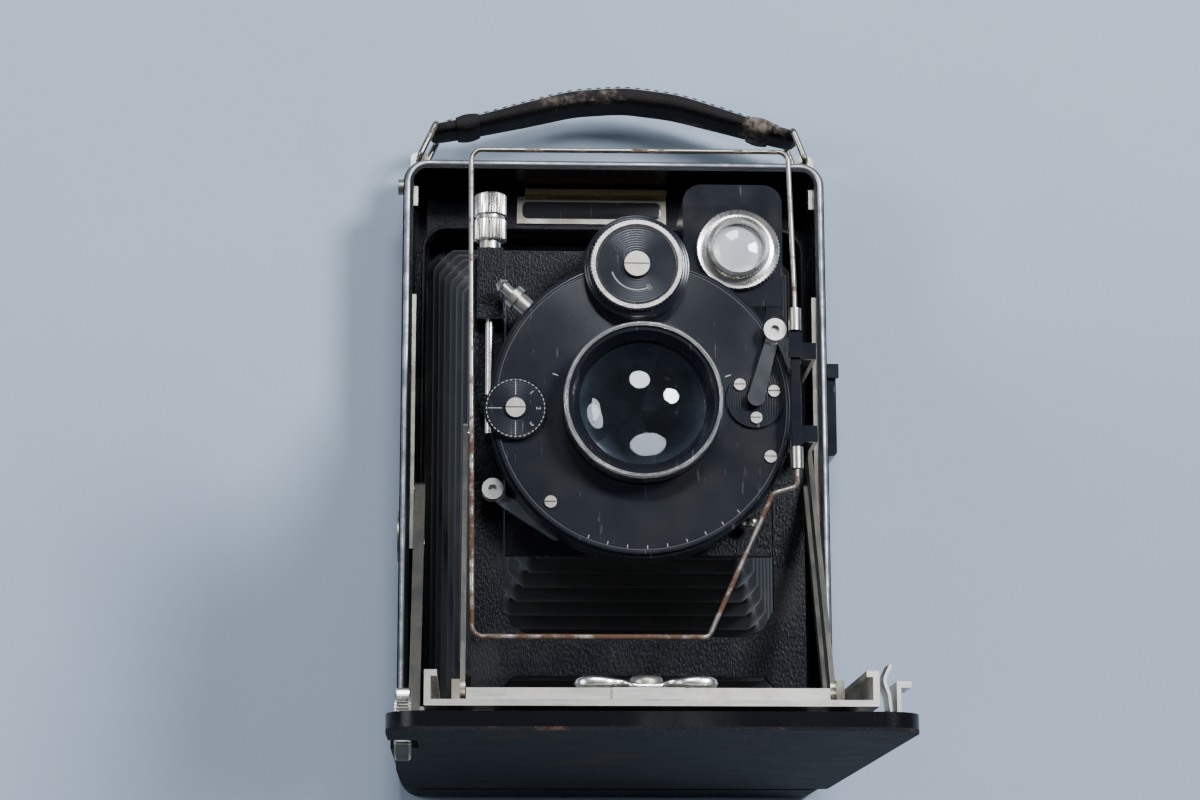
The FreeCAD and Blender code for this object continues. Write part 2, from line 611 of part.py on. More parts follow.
def make_standard():
    """Carriage, U-shaped frame, braces and the fittings that they carry."""
    plate = box("carriage_sheet", both("carriage_half"), ("carriage_floor", "carriage_top"),
                ("carriage_back", "carriage_front"))
    bar = box("carriage_lip", both("frame_half+0.8"), ("carriage_floor", "bar_top"),
              ("carriage_front-1.4", "carriage_front"))
    tab = box("carriage_tab", both(7), ("carriage_top", "bar_top"), ("carriage_front", "carriage_front+0.8"))
    keep(fuse("carriage", plate, bar, tab), "carriage")

    outer = [("-frame_half", "carriage_top"), ("-frame_inner-0.8", "carriage_top"),
             ("-frame_inner-0.8", "frame_foot_gap-3"), ("-frame_inner+2.2", "frame_foot_gap"),
             ("frame_inner-2.2", "frame_foot_gap"), ("frame_inner+0.8", "frame_foot_gap-3"),
             ("frame_inner+0.8", "carriage_top"), ("frame_half", "carriage_top"), ("frame_half", "frame_right_top"),
             ("frame_inner", "frame_right_top"), ("frame_inner", "frame_sill+6"), ("frame_inner-2", "frame_sill+2"),
             ("frame_inner-6", "frame_sill"), ("-frame_inner+6", "frame_sill"), ("-frame_inner+2", "frame_sill+2"),
             ("-frame_inner", "frame_sill+6"), ("-frame_inner", "frame_left_top"), ("-frame_half", "frame_left_top")]
    frame = prism("standard_sheet", "XY", outer, "frame_back", "frame_front-frame_back")
    flange_right = box("flange_right", ("frame_half-1", "frame_half"), ("carriage_top", "frame_right_top"),
                       ("frame_flange_back", "frame_back"))
    flange_left = box("flange_left", ("-frame_half", "-frame_half+1"), ("carriage_top", "frame_left_top"),
                      ("frame_flange_back", "frame_back"))
    ear = rod("pivot_ear_fixed", "Z", ("pivot_x", "pivot_y", "frame_back"), "pivot_ear", "frame_front-frame_back")
    neck = box("pivot_neck", ("pivot_x-1.4", "pivot_x+1.4"), ("frame_right_top-1", "pivot_y"),
               ("frame_back", "frame_front"))
    pin = rod("pivot_pin", "Z", ("pivot_x", "pivot_y", "frame_front"), 0.8, 3.4)
    column = box("column_block", ("rise_x-2.7", "rise_x+2.7"), (12, 27.4), ("frame_front", "frame_front+4.4"))
    bore = rod("column_bore", "Y", ("rise_x", 11, "rise_z"), "rise_screw_radius+0.05", 18)
    keep(cut("standard_frame", fuse("standard_body", frame, flange_right, flange_left, ear, neck, pin, column), bore),
         "standard_frame")
    make_braces()

    posts = []
    for name, low, high in (("upper", 6.4, 11.0), ("lower", -22.2, -17.8)):
        sleeve = rod(f"sleeve_{name}_tube", "Y", ("wire_axis_x", low, "wire_z"), 1.3, high - low)
        hole = rod(f"sleeve_{name}_bore", "Y", ("wire_axis_x", low - 1, "wire_z"), "wire_radius+0.05", high - low + 2)
        posts.append(cut(f"sleeve_{name}", sleeve, hole))
    keep(group("wire_sleeves", *posts), "wire_sleeves")
    spine = box("bar_spine", ("wire_axis_x-0.9", "wire_axis_x+0.9"), (-17.8, 6.4), ("wire_z-1.3", "wire_z+0.4"))
    arms = []
    for i, low in enumerate((0.6, -16.6)):
        arms.append(box(f"bar_arm_{i}", ("frame_half", "frame_half+0.8"), (low, low + 3.4), ("frame_front-4", "wire_z-0.4")))
        arms.append(box(f"bar_foot_{i}", ("wire_axis_x-0.9", "frame_half+0.8"), (low, low + 3.4), ("wire_z-1.3", "wire_z-0.4")))
    clip = box("wire_clip", ("wire_axis_x-1.3", "wire_axis_x+1.3"), (0.6, 5.8), ("wire_z+0.4", "wire_z+1.2"))
    keep(fuse("finder_bar", spine, clip, *arms), "finder_bar")

    stem = rod("wing_stem", "Y", (0, "carriage_top", "wing_z"), 1.1, 3.4)
    head = rod("wing_head", "Y", (0, "carriage_top+3.4", "wing_z"), 3.4, 1.9)
    head = rounded("wing_head_round", head, 1.2,
                   lambda e: isinstance(e.Curve, Part.Circle) and e.Curve.Center.y > cells.carriage_top + 4)
    keep(fuse("wing_screw", stem, head), "wing_screw")
    hub = rod("wing_hub", "Y", (0, "carriage_top+0.4", "wing_z"), 3.6, 2.8)
    wings = [box("wing_right", (2, 14.2), ("carriage_top+2.4", "carriage_top+4.5"), ("wing_z-2.6", "wing_z+2.6"))]
    wings = [rounded("wing_right_round", wings[0], 1.0, lambda e: True)]
    wings.append(mirrored("wing_left_round", wings[0]))
    room = rod("wing_bore", "Y", (0, "carriage_top", "wing_z"), 1.15, 3.2)
    cap_room = rod("wing_cap_room", "Y", (0, "carriage_top+3.2", "wing_z"), 3.6, 3)
    keep(cut("wing_lever", fuse("wing_body", hub, *wings), room, cap_room), "wing_lever")


def make_braces():
    """Two slanting strips from the carriage to the arms, with blocks and rivets."""
    top = Vector(0, -10.5, 122)
    foot = Vector(0, -67.8, 156.5)
    run = (foot - top).normalize()
    across = Vector(0, run.z, -run.y)
    half, sheet_metal = 2.2, 1.0
    x = cells.frame_half + 1.0
    corners = [top + across * half, foot + across * half, foot - across * half, top - across * half]
    edges = [Part.LineSegment(corners[0], corners[1]).toShape(),
             Part.Arc(corners[1], foot + run * half, corners[2]).toShape(),
             Part.LineSegment(corners[2], corners[3]).toShape(),
             Part.Arc(corners[3], top - run * half, corners[0]).toShape()]
    strip = Part.Face(Part.Wire(edges)).extrude(Vector(sheet_metal, 0, 0))
    strip.translate(Vector(x, 0, 0))
    rivet = Part.makeCylinder(1.0, 1.0, Vector(cells.frame_half, top.y, top.z), Vector(1, 0, 0))
    block = Part.makeBox(1.6, 3.8, 4.6, Vector(x + sheet_metal, foot.y - 2.3, foot.z - 1.1))
    right = [strip, rivet, block]
    left = [solid.mirror(Vector(), Vector(1, 0, 0)) for solid in right]
    keep(sculpted("standard_braces", Part.makeCompound(right + left)), "standard_braces")


# ---------------------------------------------------------------- shutter and lens


def make_board():
    """Lens board with the nut of its rising screw."""
    points = [("-board_half", "board_foot"), ("board_half", "board_foot"), ("board_half", "board_step_y-5"),
              ("board_half-2.1", "board_step_y-5"), ("board_half-2.1", "board_step_y"),
              ("board_step_x", "board_step_y"), ("board_step_x", "board_top"), ("-board_half", "board_top")]
    board = prism("board_sheet", "XY", points, "board_back", "board_front-board_back")
    hole = rod("board_hole", "Z", (0, "lens_y", "board_back-1"), "rear_cell_radius+0.4", 6)
    arm = box("nut_arm", ("rise_x-1.9", "-board_half+1.3"), (-8, -4), ("frame_front+0.4", "rise_z+1.6"))
    bore = rod("nut_bore", "Y", ("rise_x", -9, "rise_z"), "rise_screw_radius+0.05", 8)
    link = box("nut_link", ("-board_half", "-board_half+2"), (-8, -4), ("board_front-1", "frame_front+0.4"))
    keep(cut("lens_board", fuse("board_body", board, cut("nut", arm, bore), link), hole), "lens_board")


def make_shutter():
    """Dial-set leaf shutter: case, face, dials, levers and cable socket."""
    case = rod("case_disc", "Z", (0, "lens_y", "case_back"), "case_radius", "case_front-case_back")
    lobe = rod("case_lobe", "Z", ("speed_x", "speed_y", "case_back"), "speed_lobe", "case_front-case_back")
    neck = rod("case_neck", "Z", (0, "lens_y", "board_front"), "mount_radius", "case_back-board_front")
    bore = fuse("case_bore", rod("case_bore_rear", "Z", (0, "lens_y", "board_front-1"), "rear_cell_radius+0.05", 8),
                rod("case_bore_front", "Z", (0, "lens_y", "case_back"), "lens_bore", 20))
    room = rod("case_room", "Z", (0, "lens_y", "case_back+2"), "case_radius-3", "case_front-case_back-4")
    keep(cut("shutter_case", fuse("case_body", case, lobe, neck), bore, room), "shutter_case")

    face = rod("face_disc", "Z", (0, "lens_y", "case_front"), "case_radius-0.7", "face_front-case_front")
    face_lobe = rod("face_lobe", "Z", ("speed_x", "speed_y", "case_front"), "speed_lobe-0.5", "face_front-case_front")
    hub = rod("face_hub", "Z", ("hub_x", "hub_y", "face_front-0.2"), "hub_radius", 1.0)
    hole = rod("face_hole", "Z", (0, "lens_y", "case_front-1"), "lens_rim+0.2", 4)
    keep(cut("shutter_face", fuse("face_body", face, face_lobe, hub), hole), "shutter_face")

    blades = []
    leaf_count = 3
    for i in range(leaf_count):
        turn = FULL_TURN / leaf_count
        start, end = math.radians(i * turn + 2), math.radians((i + 1) * turn - 2)
        ring = [Vector(r * math.cos(a), cells.lens_y + r * math.sin(a), 0)
                for r, a in ((26, start), (26, (start + end) / 2), (26, end))]
        inner = [Vector(r * math.cos(a), cells.lens_y + r * math.sin(a), 0)
                 for r, a in ((16, end), (16, (start + end) / 2), (16, start))]
        edges = [Part.Arc(*ring).toShape(), Part.LineSegment(ring[2], inner[0]).toShape(),
                 Part.Arc(*inner).toShape(), Part.LineSegment(inner[2], ring[0]).toShape()]
        leaf = Part.Face(Part.Wire(edges)).extrude(Vector(0, 0, 0.4))
        leaf.translate(Vector(0, 0, cells.case_back + 2 + i * 0.1))
        blades.append(leaf)
    keep(sculpted("shutter_blades", Part.makeCompound(blades)), "shutter_blades")

    drum = [(0, "face_front"), ("speed_radius", "face_front"), ("speed_radius", "speed_front-2.2"),
            ("speed_ring", "speed_front-1.8"), ("speed_ring-1.6", "speed_front-1.8"),
            ("speed_ring-1.6", "speed_front-0.6"), (0, "speed_front-0.6")]
    keep(turned("speed_dial", drum, "speed_x", "speed_y"), "speed_dial")
    ring = [("speed_ring-1.6", "speed_front-1.8"), ("speed_ring", "speed_front-1.8"), ("speed_ring", "speed_front-0.3"),
            ("speed_ring-0.3", "speed_front"), ("speed_ring-1.6", "speed_front")]
    keep(turned("speed_dial_ring", ring, "speed_x", "speed_y"), "speed_dial_ring")
    mode = [(0, "face_front"), ("mode_radius", "face_front"), ("mode_radius", "face_front+1.4"),
            ("mode_radius-0.4", "face_front+1.8"), (0, "face_front+1.8")]
    keep(turned("mode_dial", mode, "mode_x", "mode_y"), "mode_dial")

    heads = []
    for name, x, y, foot, radius in (
            ("speed", "speed_x", "speed_y", "speed_front-0.6", 2.6), ("mode", "mode_x", "mode_y", "face_front+1.8", 2.0)):
        heads.append((name, screw_head(f"{name}_screw", x, y, foot, radius)))
    keep(heads[0][1], "speed_dial_screw")
    keep(heads[1][1], "mode_dial_screw")
    spots = [(-18.6, -28.4, "face_front", 1.25), (26.2, -18.8, "face_front", 1.25),
             ("hub_x-3.2", "hub_y+3", "face_front+0.8", 1.2), ("hub_x+3.8", "hub_y+1.7", "face_front+0.8", 1.2),
             ("hub_x+0.1", "hub_y-3.9", "face_front+0.8", 1.2)]
    keep(group("shutter_screws", *[screw_head(f"face_screw_{i}", *spot) for i, spot in enumerate(spots)]),
         "shutter_screws")
    make_levers()


def screw_head(name, x, y, foot, radius):
    """A slotted screw head that lies on its seat."""
    height = round(radius * 0.42, 2)
    head = rod(f"{name}_head", "Z", (x, y, foot), radius, height)
    slot = box(f"{name}_slot", (f"{x}-{radius}-1", f"{x}+{radius}+1"), (f"{y}-0.18", f"{y}+0.18"),
               (f"{foot}+{height}-0.35", f"{foot}+{height}+1"))
    return cut(name, head, slot)


def plate_between(a, b, half_a, half_b, low, high):
    """A tapered plate with round ends at the points a and b."""
    run = (b - a).normalize()
    across = Vector(-run.y, run.x, 0)
    edges = [Part.LineSegment(a + across * half_a, b + across * half_b).toShape(),
             Part.Arc(b + across * half_b, b + run * half_b, b - across * half_b).toShape(),
             Part.LineSegment(b - across * half_b, a - across * half_a).toShape(),
             Part.Arc(a - across * half_a, a - run * half_a, a + across * half_a).toShape()]
    plate = Part.Face(Part.Wire(edges)).extrude(Vector(0, 0, high - low))
    plate.translate(Vector(0, 0, low))
    return plate


def make_levers():
    """Cocking, release and aperture levers, and the cable socket."""
    up = Vector(0, 0, 1)
    hub = Vector(cells.hub_x, cells.hub_y, 0)
    tip = Vector(27.1, 7.0, 0)
    seat = cells.face_front + 1.35
    arm = plate_between(hub, tip, 1.7, 1.2, seat, seat + 0.9)
    post = Part.makeCylinder(2.3, 1.6, tip + up * (seat + 0.9), up)
    post = post.cut(Part.makeCylinder(0.9, 1.6, tip + up * (seat + 1.4), up))
    cap = Part.makeCylinder(1.8, 0.8, hub + up * (seat + 0.9), up)
    stem = Part.makeCylinder(1.6, 0.5, hub + up * (seat - 0.5), up)
    keep(sculpted("cocking_lever", arm.fuse([post, cap, stem]).removeSplitter()), "cocking_lever")

    low = cells.case_back - 1.6
    ring = Vector(-30.3, -24.4, 0)
    pivot = Vector(-17, -32, 0)
    blade = plate_between(pivot, Vector(-27.6, -26.8, 0), 2.6, 1.2, low, low + 1.2)
    link = plate_between(Vector(-27.6, -26.8, 0), ring, 1.2, 1.2, low, low + 1.2)
    post = Part.makeCylinder(2.2, 3.6, ring + up * low, up)
    post = post.cut(Part.makeCylinder(0.9, 2, ring + up * (low + 2.4), up))
    keep(sculpted("release_lever", blade.fuse([link, post]).removeSplitter()), "release_lever")

    centre = Vector(0, cells.lens_y, 0)
    ball = Vector(23.3, -30.8, 0)
    tail = Vector(17.4, -29.2, 0)
    arm = plate_between(tail, ball, 1.4, 0.8, low, low + 1.2)
    hoop = Part.makeCylinder(26, 1.2, centre + up * low, up).cut(Part.makeCylinder(21, 1.2, centre + up * low, up))
    knob = Part.makeSphere(1.15, ball + up * (low + 1.8))
    keep(sculpted("aperture_lever", hoop.fuse([arm, knob]).removeSplitter()), "aperture_lever")

    out = Vector(-0.735, 0.678, 0)
    start = centre + out * (cells.case_radius - 0.8) + up * 137
    barrel = Part.makeCylinder(1.9, 5, start, out)
    collar = Part.makeCylinder(2.5, 1.6, start + out * 4, out)
    nipple = Part.makeCylinder(1.2, 3.4, start + out * 5.6, out)
    tip = Part.makeCone(1.7, 0.8, 1.4, start + out * 8.2, out)
    disc = Part.makeCylinder(cells.case_radius, 8, centre + up * cells.case_back, up)
    socket = barrel.fuse([collar, nipple, tip]).removeSplitter().cut(disc)
    keep(sculpted("cable_socket", socket), "cable_socket")


def make_lens():
    """Front and rear lens cells with their glass."""
    rim = [("lens_bore", "face_front-1.2"), ("lens_rim", "face_front-1.2"), ("lens_rim", "lens_front-0.4"),
           ("lens_rim-0.4", "lens_front"), ("lens_bore", "lens_front")]
    keep(turned("lens_barrel", rim, 0, "lens_y"), "lens_barrel")
    ring = [("lens_clear", "case_back"), ("lens_bore-0.05", "case_back"), ("lens_bore-0.05", "lens_front-0.6"),
            ("lens_bore-0.9", "lens_front-0.6"), ("lens_clear", "lens_front-3")]
    front_cell = turned("front_cell", ring, 0, "lens_y")
    radius = cells.lens_clear - 0.05
    curve, edge_z = 24.0, cells.lens_front - 5.6
    drop = curve - math.sqrt(curve ** 2 - radius ** 2)
    ball = Part.makeSphere(curve, Vector(0, cells.lens_y, edge_z + drop - curve))
    disc = Part.makeCylinder(radius, drop + 3, Vector(0, cells.lens_y, edge_z - 3), Vector(0, 0, 1))
    keep(sculpted("front_lens", disc.common(ball)), "front_lens")
    cell = [("rear_cell_radius-2.5", "rear_cell_back"), ("rear_cell_radius", "rear_cell_back"),
            ("rear_cell_radius", "case_back"), ("rear_cell_radius-2.5", "case_back")]
    keep(group("lens_cells", front_cell, turned("rear_cell", cell, 0, "lens_y")), "lens_cells")
    keep(rod("rear_lens", "Z", (0, "lens_y", "rear_cell_back+1"), "rear_cell_radius-2.5", 4), "rear_lens")


# ---------------------------------------------------------------- finders and rising front


def make_finders():
    """Reflecting finder that swivels, and the wire frame finder."""
    x, y = ("finder_left", "finder_right"), ("finder_foot", "finder_top")
    block = box("finder_block", x, y, ("finder_back", "finder_front"))
    block = rounded("finder_round", block, 4.0, lambda e: along("Z", e) and e.Vertexes[0].Y > cells.finder_top - 1)
    block = rounded("finder_corner", block, 5.0, lambda e: along("Z", e) and e.Vertexes[0].Y < cells.finder_foot + 1
                    and e.Vertexes[0].X < cells.finder_left + 1)
    lens_hole = rod("finder_lens_hole", "Z", ("finder_lens_x", "finder_lens_y", "finder_front-4"), "finder_glass", 6)
    top_hole = box("finder_top_hole", ("finder_left+4", "finder_right-4"), ("finder_top-8", "finder_top+1"),
                   ("finder_back+3", "finder_front-5"))
    ear = rod("finder_ear", "Z", ("pivot_x", "pivot_y", "frame_front+0.4"), "pivot_ear", 2.4)
    link = box("finder_link", ("pivot_x-1.6", "pivot_x+1.6"), ("pivot_y", "finder_foot+1"),
               ("frame_front+0.4", "frame_front+2.8"))
    hole = rod("finder_ear_bore", "Z", ("pivot_x", "pivot_y", "frame_front"), 0.85, 4)
    keep(cut("finder_body", fuse("finder_solid", block, ear, link), lens_hole, top_hole, hole), "finder_body")
    window = box("finder_window", ("finder_left+4", "finder_right-4"), ("finder_top-8", "finder_top-7"),
                 ("finder_back+3", "finder_front-5"))
    flange = [("finder_ring-0.6", "finder_front"), ("finder_flange", "finder_front"),
              ("finder_flange", "finder_front+0.9"), ("finder_flange-0.4", "finder_front+1.3"),
              ("finder_ring-0.6", "finder_front+1.3")]
    keep(turned("finder_lens_flange", flange, "finder_lens_x", "finder_lens_y"), "finder_lens_flange")
    ring = [("finder_glass", "finder_front"), ("finder_ring-0.65", "finder_front"),
            ("finder_ring-0.65", "finder_front+1.4"), ("finder_ring", "finder_front+1.4"),
            ("finder_ring", "finder_front+3.4"), ("finder_glass+0.3", "finder_front+3.8"),
            ("finder_glass", "finder_front+2.6")]
    keep(turned("finder_lens_ring", ring, "finder_lens_x", "finder_lens_y"), "finder_lens_ring")
    glass = [(0, "finder_front-1"), ("finder_glass-0.05", "finder_front-1"), ("finder_glass-0.05", "finder_front+1.2"),
             ("finder_glass*0.75", "finder_front+1.9"), ("finder_glass*0.4", "finder_front+2.3"),
             (0, "finder_front+2.4")]
    keep(group("finder_glasses", turned("finder_front_glass", glass, "finder_lens_x", "finder_lens_y"), window),
         "finder_lens")

    z, axis = cells.wire_z, cells.wire_axis_x
    foot, left, top = cells.wire_foot, cells.wire_left, cells.wire_top
    start = Vector(axis, 6.6, z)
    points = [start, Vector(axis, 14, z), Vector(axis - 0.9, top, z), Vector(left, top - 0.2, z),
              Vector(left + 0.9, foot, z), Vector(12.8, foot, z), Vector(26, -27.3, z), Vector(axis, -25.8, z),
              Vector(axis, -18.0, z)]
    path = wire_path(points, [20, 2.2, 2.2, 2.2, 1.6, 1.6, 1.4])
    section = round_section(start, Vector(0, 1, 0), cells.wire_radius)
    keep(sculpted("wire_finder", swept(path, section)), "wire_finder")


def make_rising_front():
    """Knurled knob with its screw, which lifts the lens board."""
    knob = rod("rise_knob_disc", "Y", ("rise_x", "rise_knob_foot", "rise_z"), "rise_knob_radius",
               "rise_knob_top-rise_knob_foot")
    knob = rounded("rise_knob_round", knob, 0.4, lambda e: isinstance(e.Curve, Part.Circle))
    neck = rod("rise_neck", "Y", ("rise_x", 27.5, "rise_z"), 2.2, "rise_knob_foot-27.5")
    screw = rod("rise_screw", "Y", ("rise_x", -12, "rise_z"), "rise_screw_radius", "39.5")
    keep(fuse("rise_knob", knob, neck, screw), "rise_knob")


# ---------------------------------------------------------------- bellows and strap


def frame_wire(half_x, low_y, high_y, z):
    """A rectangle at height z, to loft."""
    corners = [Vector(-half_x, low_y, z), Vector(half_x, low_y, z), Vector(half_x, high_y, z),
               Vector(-half_x, high_y, z)]
    return Part.makePolygon(corners + corners[:1])


def make_bellows():
    """Tapered tube from the bulkhead to the lens board."""
    back = cells.bulkhead_z + cells.bulkhead_thick
    front = cells.bellows_front
    wall = cells.bellows_wall
    rear_half, rear_low, rear_high = 46.5, -67, 61.5
    front_half, front_low, front_high = 21, -31, 8
    outer = Part.makeLoft([frame_wire(rear_half, rear_low, rear_high, back),
                           frame_wire(front_half, front_low, front_high, front)], True, True)
    inner = Part.makeLoft([frame_wire(rear_half - wall, rear_low + wall, rear_high - wall, back - 0.01),
                           frame_wire(front_half - wall, front_low + wall, front_high - wall, front + 0.01)],
                          True, True)
    keep(sculpted("bellows", outer.cut(inner)), "bellows")


def make_strap():
    """Leather carrying strap on two wire rings."""
    low, high = cells.strap_low, cells.strap_high
    half = cells.strap_thick / 2
    route = [Vector(-45, 89.2, 0), Vector(-24, 93.6, 0), Vector(3, 98.4, 0), Vector(28, 93.2, 0), Vector(46, 88.4, 0)]
    spine = Part.BSplineCurve()
    spine.interpolate(route)
    first, last = spine.FirstParameter, spine.LastParameter
    upper, lower = [], []
    steps = 12
    for i in range(steps + 1):
        t = first + (last - first) * i / steps
        point, tangent = spine.value(t), spine.tangent(t)[0]
        normal = Vector(-tangent.y, tangent.x, 0)
        upper.append(point + normal * half)
        lower.append(point - normal * half)
    top, bottom = Part.BSplineCurve(), Part.BSplineCurve()
    top.interpolate(upper)
    bottom.interpolate(lower[::-1])
    right_end, left_end = spine.tangent(last)[0], spine.tangent(first)[0]
    edges = [top.toShape(), Part.Arc(upper[-1], route[-1] + right_end * half, lower[-1]).toShape(),
             bottom.toShape(), Part.Arc(lower[0], route[0] - left_end * half, upper[0]).toShape()]
    strap = Part.Face(Part.Wire(edges)).extrude(Vector(0, 0, high - low))
    strap.translate(Vector(0, 0, low))
    eyes = [Part.makeCylinder(1.0, high - low, Vector(x, y, low), Vector(0, 0, 1)) for x, y in ((-44.6, 89.3), (45.6, 88.5))]
    keep(sculpted("strap", strap.cut(Part.makeCompound(eyes))), "strap")

    eye_y = cells.body_height / 2 + 2.4
    rings = []
    for x, strap_x, strap_y in ((-48.7, -44.6, 89.3), (48.7, 45.6, 88.5)):
        a, b = low - 1.2, high + 1.2
        points = [Vector(x, eye_y, (a + b) / 2), Vector(x, eye_y, a), Vector(strap_x, strap_y, a),
                  Vector(strap_x, strap_y, b), Vector(x, eye_y, b), Vector(x, eye_y, (a + b) / 2 + 0.02)]
        path = wire_path(points, [1.1, 1.1, 1.1, 1.1])
        section = round_section(points[0], Vector(0, 0, 1), 0.8)
        rings.append(swept(path, section))
    keep(sculpted("strap_rings", Part.makeCompound(rings)), "strap_rings")


def check_document():
    """Stops if any object failed or any sub-part has no valid solid."""
    doc.recompute()
    for obj in doc.Objects:
        if {"Invalid", "Error"} & set(obj.State):
            raise RuntimeError(f"{obj.Name} failed: {obj.State}")
    for obj in subparts:
        if obj.Shape.isNull() or not obj.Shape.isValid() or not obj.Shape.Solids:
            raise RuntimeError(f"{obj.Label} has no valid solid")


def write_parts():
    """Writes one STEP file for each sub-part."""
    os.makedirs("parts", exist_ok=True)
    for name in os.listdir("parts"):
        os.remove(os.path.join("parts", name))
    for obj in subparts:
        obj.Shape.exportStep(f"parts/{obj.Label}.step")
        bounds = obj.Shape.BoundBox
        print(f"{obj.Label}: {len(obj.Shape.Solids)} solids, {obj.Shape.Volume:.1f} mm3, "
              f"X {bounds.XMin:.1f}..{bounds.XMax:.1f} Y {bounds.YMin:.1f}..{bounds.YMax:.1f} "
              f"Z {bounds.ZMin:.1f}..{bounds.ZMax:.1f}")


make_body()
make_screen()
make_side_fittings()
make_bed()
make_focusing()
make_standard()
make_board()
make_shutter()
make_lens()
make_finders()
make_rising_front()
make_bellows()
make_strap()
check_document()
write_parts()
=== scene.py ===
"""Folding plate camera, lying on its back with its bed open: finished surfaces and looks.

Every length is in metres and in the camera's own frame: +Z out of the lens, +Y to the strap.
"""
import math

import bmesh
import bpy
import numpy as np
from mathutils import Matrix, Vector


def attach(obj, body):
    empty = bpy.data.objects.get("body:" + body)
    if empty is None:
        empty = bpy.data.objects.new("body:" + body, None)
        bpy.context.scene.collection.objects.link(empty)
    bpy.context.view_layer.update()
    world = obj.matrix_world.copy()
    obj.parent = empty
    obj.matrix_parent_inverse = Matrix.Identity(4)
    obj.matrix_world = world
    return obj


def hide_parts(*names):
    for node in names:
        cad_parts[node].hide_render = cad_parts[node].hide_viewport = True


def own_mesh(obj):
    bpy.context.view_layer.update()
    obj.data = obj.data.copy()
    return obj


bl_info = {
    "name": "Folding plate camera",
    "version": (1, 0, 0),
    "blender": (4, 5, 0),
    "location": "3D View > Sidebar > Camera",
    "description": "Finishes the folding plate camera: bellows, strap, knurled rings, dials and materials",
    "category": "Add Mesh",
}

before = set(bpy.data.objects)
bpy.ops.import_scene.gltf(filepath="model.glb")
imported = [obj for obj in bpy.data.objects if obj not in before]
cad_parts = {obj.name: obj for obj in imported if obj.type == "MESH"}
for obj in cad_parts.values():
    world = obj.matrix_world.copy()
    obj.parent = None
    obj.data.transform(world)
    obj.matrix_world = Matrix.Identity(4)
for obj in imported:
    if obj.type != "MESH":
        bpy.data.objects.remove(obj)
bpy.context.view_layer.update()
MM = 0.001
LENS = (0.0, -8.4)
SPEED = (-1.2, 20.0)
MODE = (-25.8, -9.4)


# ---------------------------------------------------------------- shader expressions


class Value:
    """A node socket that can be used in Python arithmetic. Each operator adds one Math node."""

    def __init__(self, recipe, socket):
        self.recipe = recipe
        self.socket = socket

    def _math(self, operation, first, second):
        return self.recipe.add("ShaderNodeMath", {"operation": operation}, {0: first, 1: second})

    def __add__(self, other):
        return self._math("ADD", self, other)

    def __sub__(self, other):
        return self._math("SUBTRACT", self, other)

    def __rsub__(self, other):
        return self._math("SUBTRACT", other, self)

    def __mul__(self, other):
        return self._math("MULTIPLY", self, other)

    def above(self, edge, softness):
        """0 below the edge, 1 above it, with a soft step between."""
        settings = {"clamp": True, "interpolation_type": "SMOOTHSTEP"}
        sockets = {"Value": self, "From Min": edge - softness, "From Max": edge + softness}
        return self.recipe.add("ShaderNodeMapRange", settings, sockets)

    __radd__ = __add__
    __rmul__ = __mul__


class Recipe:
    """A material whose nodes are added one by one."""

    def __init__(self, name):
        self.material = bpy.data.materials.new(name)
        self.material.use_nodes = True
        self.tree = self.material.node_tree
        self.shader = self.tree.nodes["Principled BSDF"]
        self.place = self.add("ShaderNodeTexCoord", {}, {}, "Object")

    def add(self, kind, settings, sockets, output=0):
        """One node: its settings first, then the value or link of each socket."""
        node = self.tree.nodes.new(kind)
        for name, value in settings.items():
            if name == "stops":
                ramp = node.color_ramp.elements
                while len(ramp) < len(value):
                    ramp.new(0.5)
                for element, (position, colour) in zip(ramp, value):
                    element.position = position
                    element.color = (*colour, 1)
            else:
                setattr(node, name, value)
        for name, value in sockets.items():
            self.feed(node.inputs[name], value)
        return Value(self, node.outputs[output])

    def feed(self, target, value):
        """Links a value to a socket, or sets it there."""
        if isinstance(value, Value):
            self.tree.links.new(value.socket, target)
        elif isinstance(value, tuple) and len(value) == 3 and target.type == "RGBA":
            target.default_value = (*value, 1)
        else:
            target.default_value = value

    def noise(self, scale, detail=4, roughness=0.55, place=None):
        """Noise with features of about 1/scale metres."""
        sockets = {"Vector": place or self.place, "Scale": scale, "Detail": detail, "Roughness": roughness}
        return self.add("ShaderNodeTexNoise", {}, sockets, "Fac")

    def cells(self, scale, feature="F1"):
        """Distance to the nearest cell point or cell wall."""
        sockets = {"Vector": self.place, "Scale": scale}
        return self.add("ShaderNodeTexVoronoi", {"feature": feature}, sockets, "Distance")

    def moved(self, offset=(0, 0, 0), scale=(1, 1, 1)):
        """The place, shifted and stretched."""
        return self.add("ShaderNodeMapping", {}, {"Vector": self.place, "Location": offset, "Scale": scale})

    def along(self, axis):
        """One coordinate of the place."""
        return self.add("ShaderNodeSeparateXYZ", {}, {0: self.place}, axis)

    def mix(self, mask, low, high):
        """A colour between low and high."""
        return self.add("ShaderNodeMix", {"data_type": "RGBA"}, {"Factor": mask, 6: low, 7: high}, 2)

    def bump(self, height, distance, strength=0.6):
        """Relief of that height, in metres."""
        sockets = {"Height": height, "Distance": distance, "Strength": strength}
        normal = self.add("ShaderNodeBump", {}, sockets, "Normal")
        self.feed(self.shader.inputs["Normal"], normal)

    def finish(self, **sockets):
        """Sets the shader's sockets. An underscore stands for a space."""
        for name, value in sockets.items():
            self.feed(self.shader.inputs[name.replace("_", " ")], value)
        return self.material


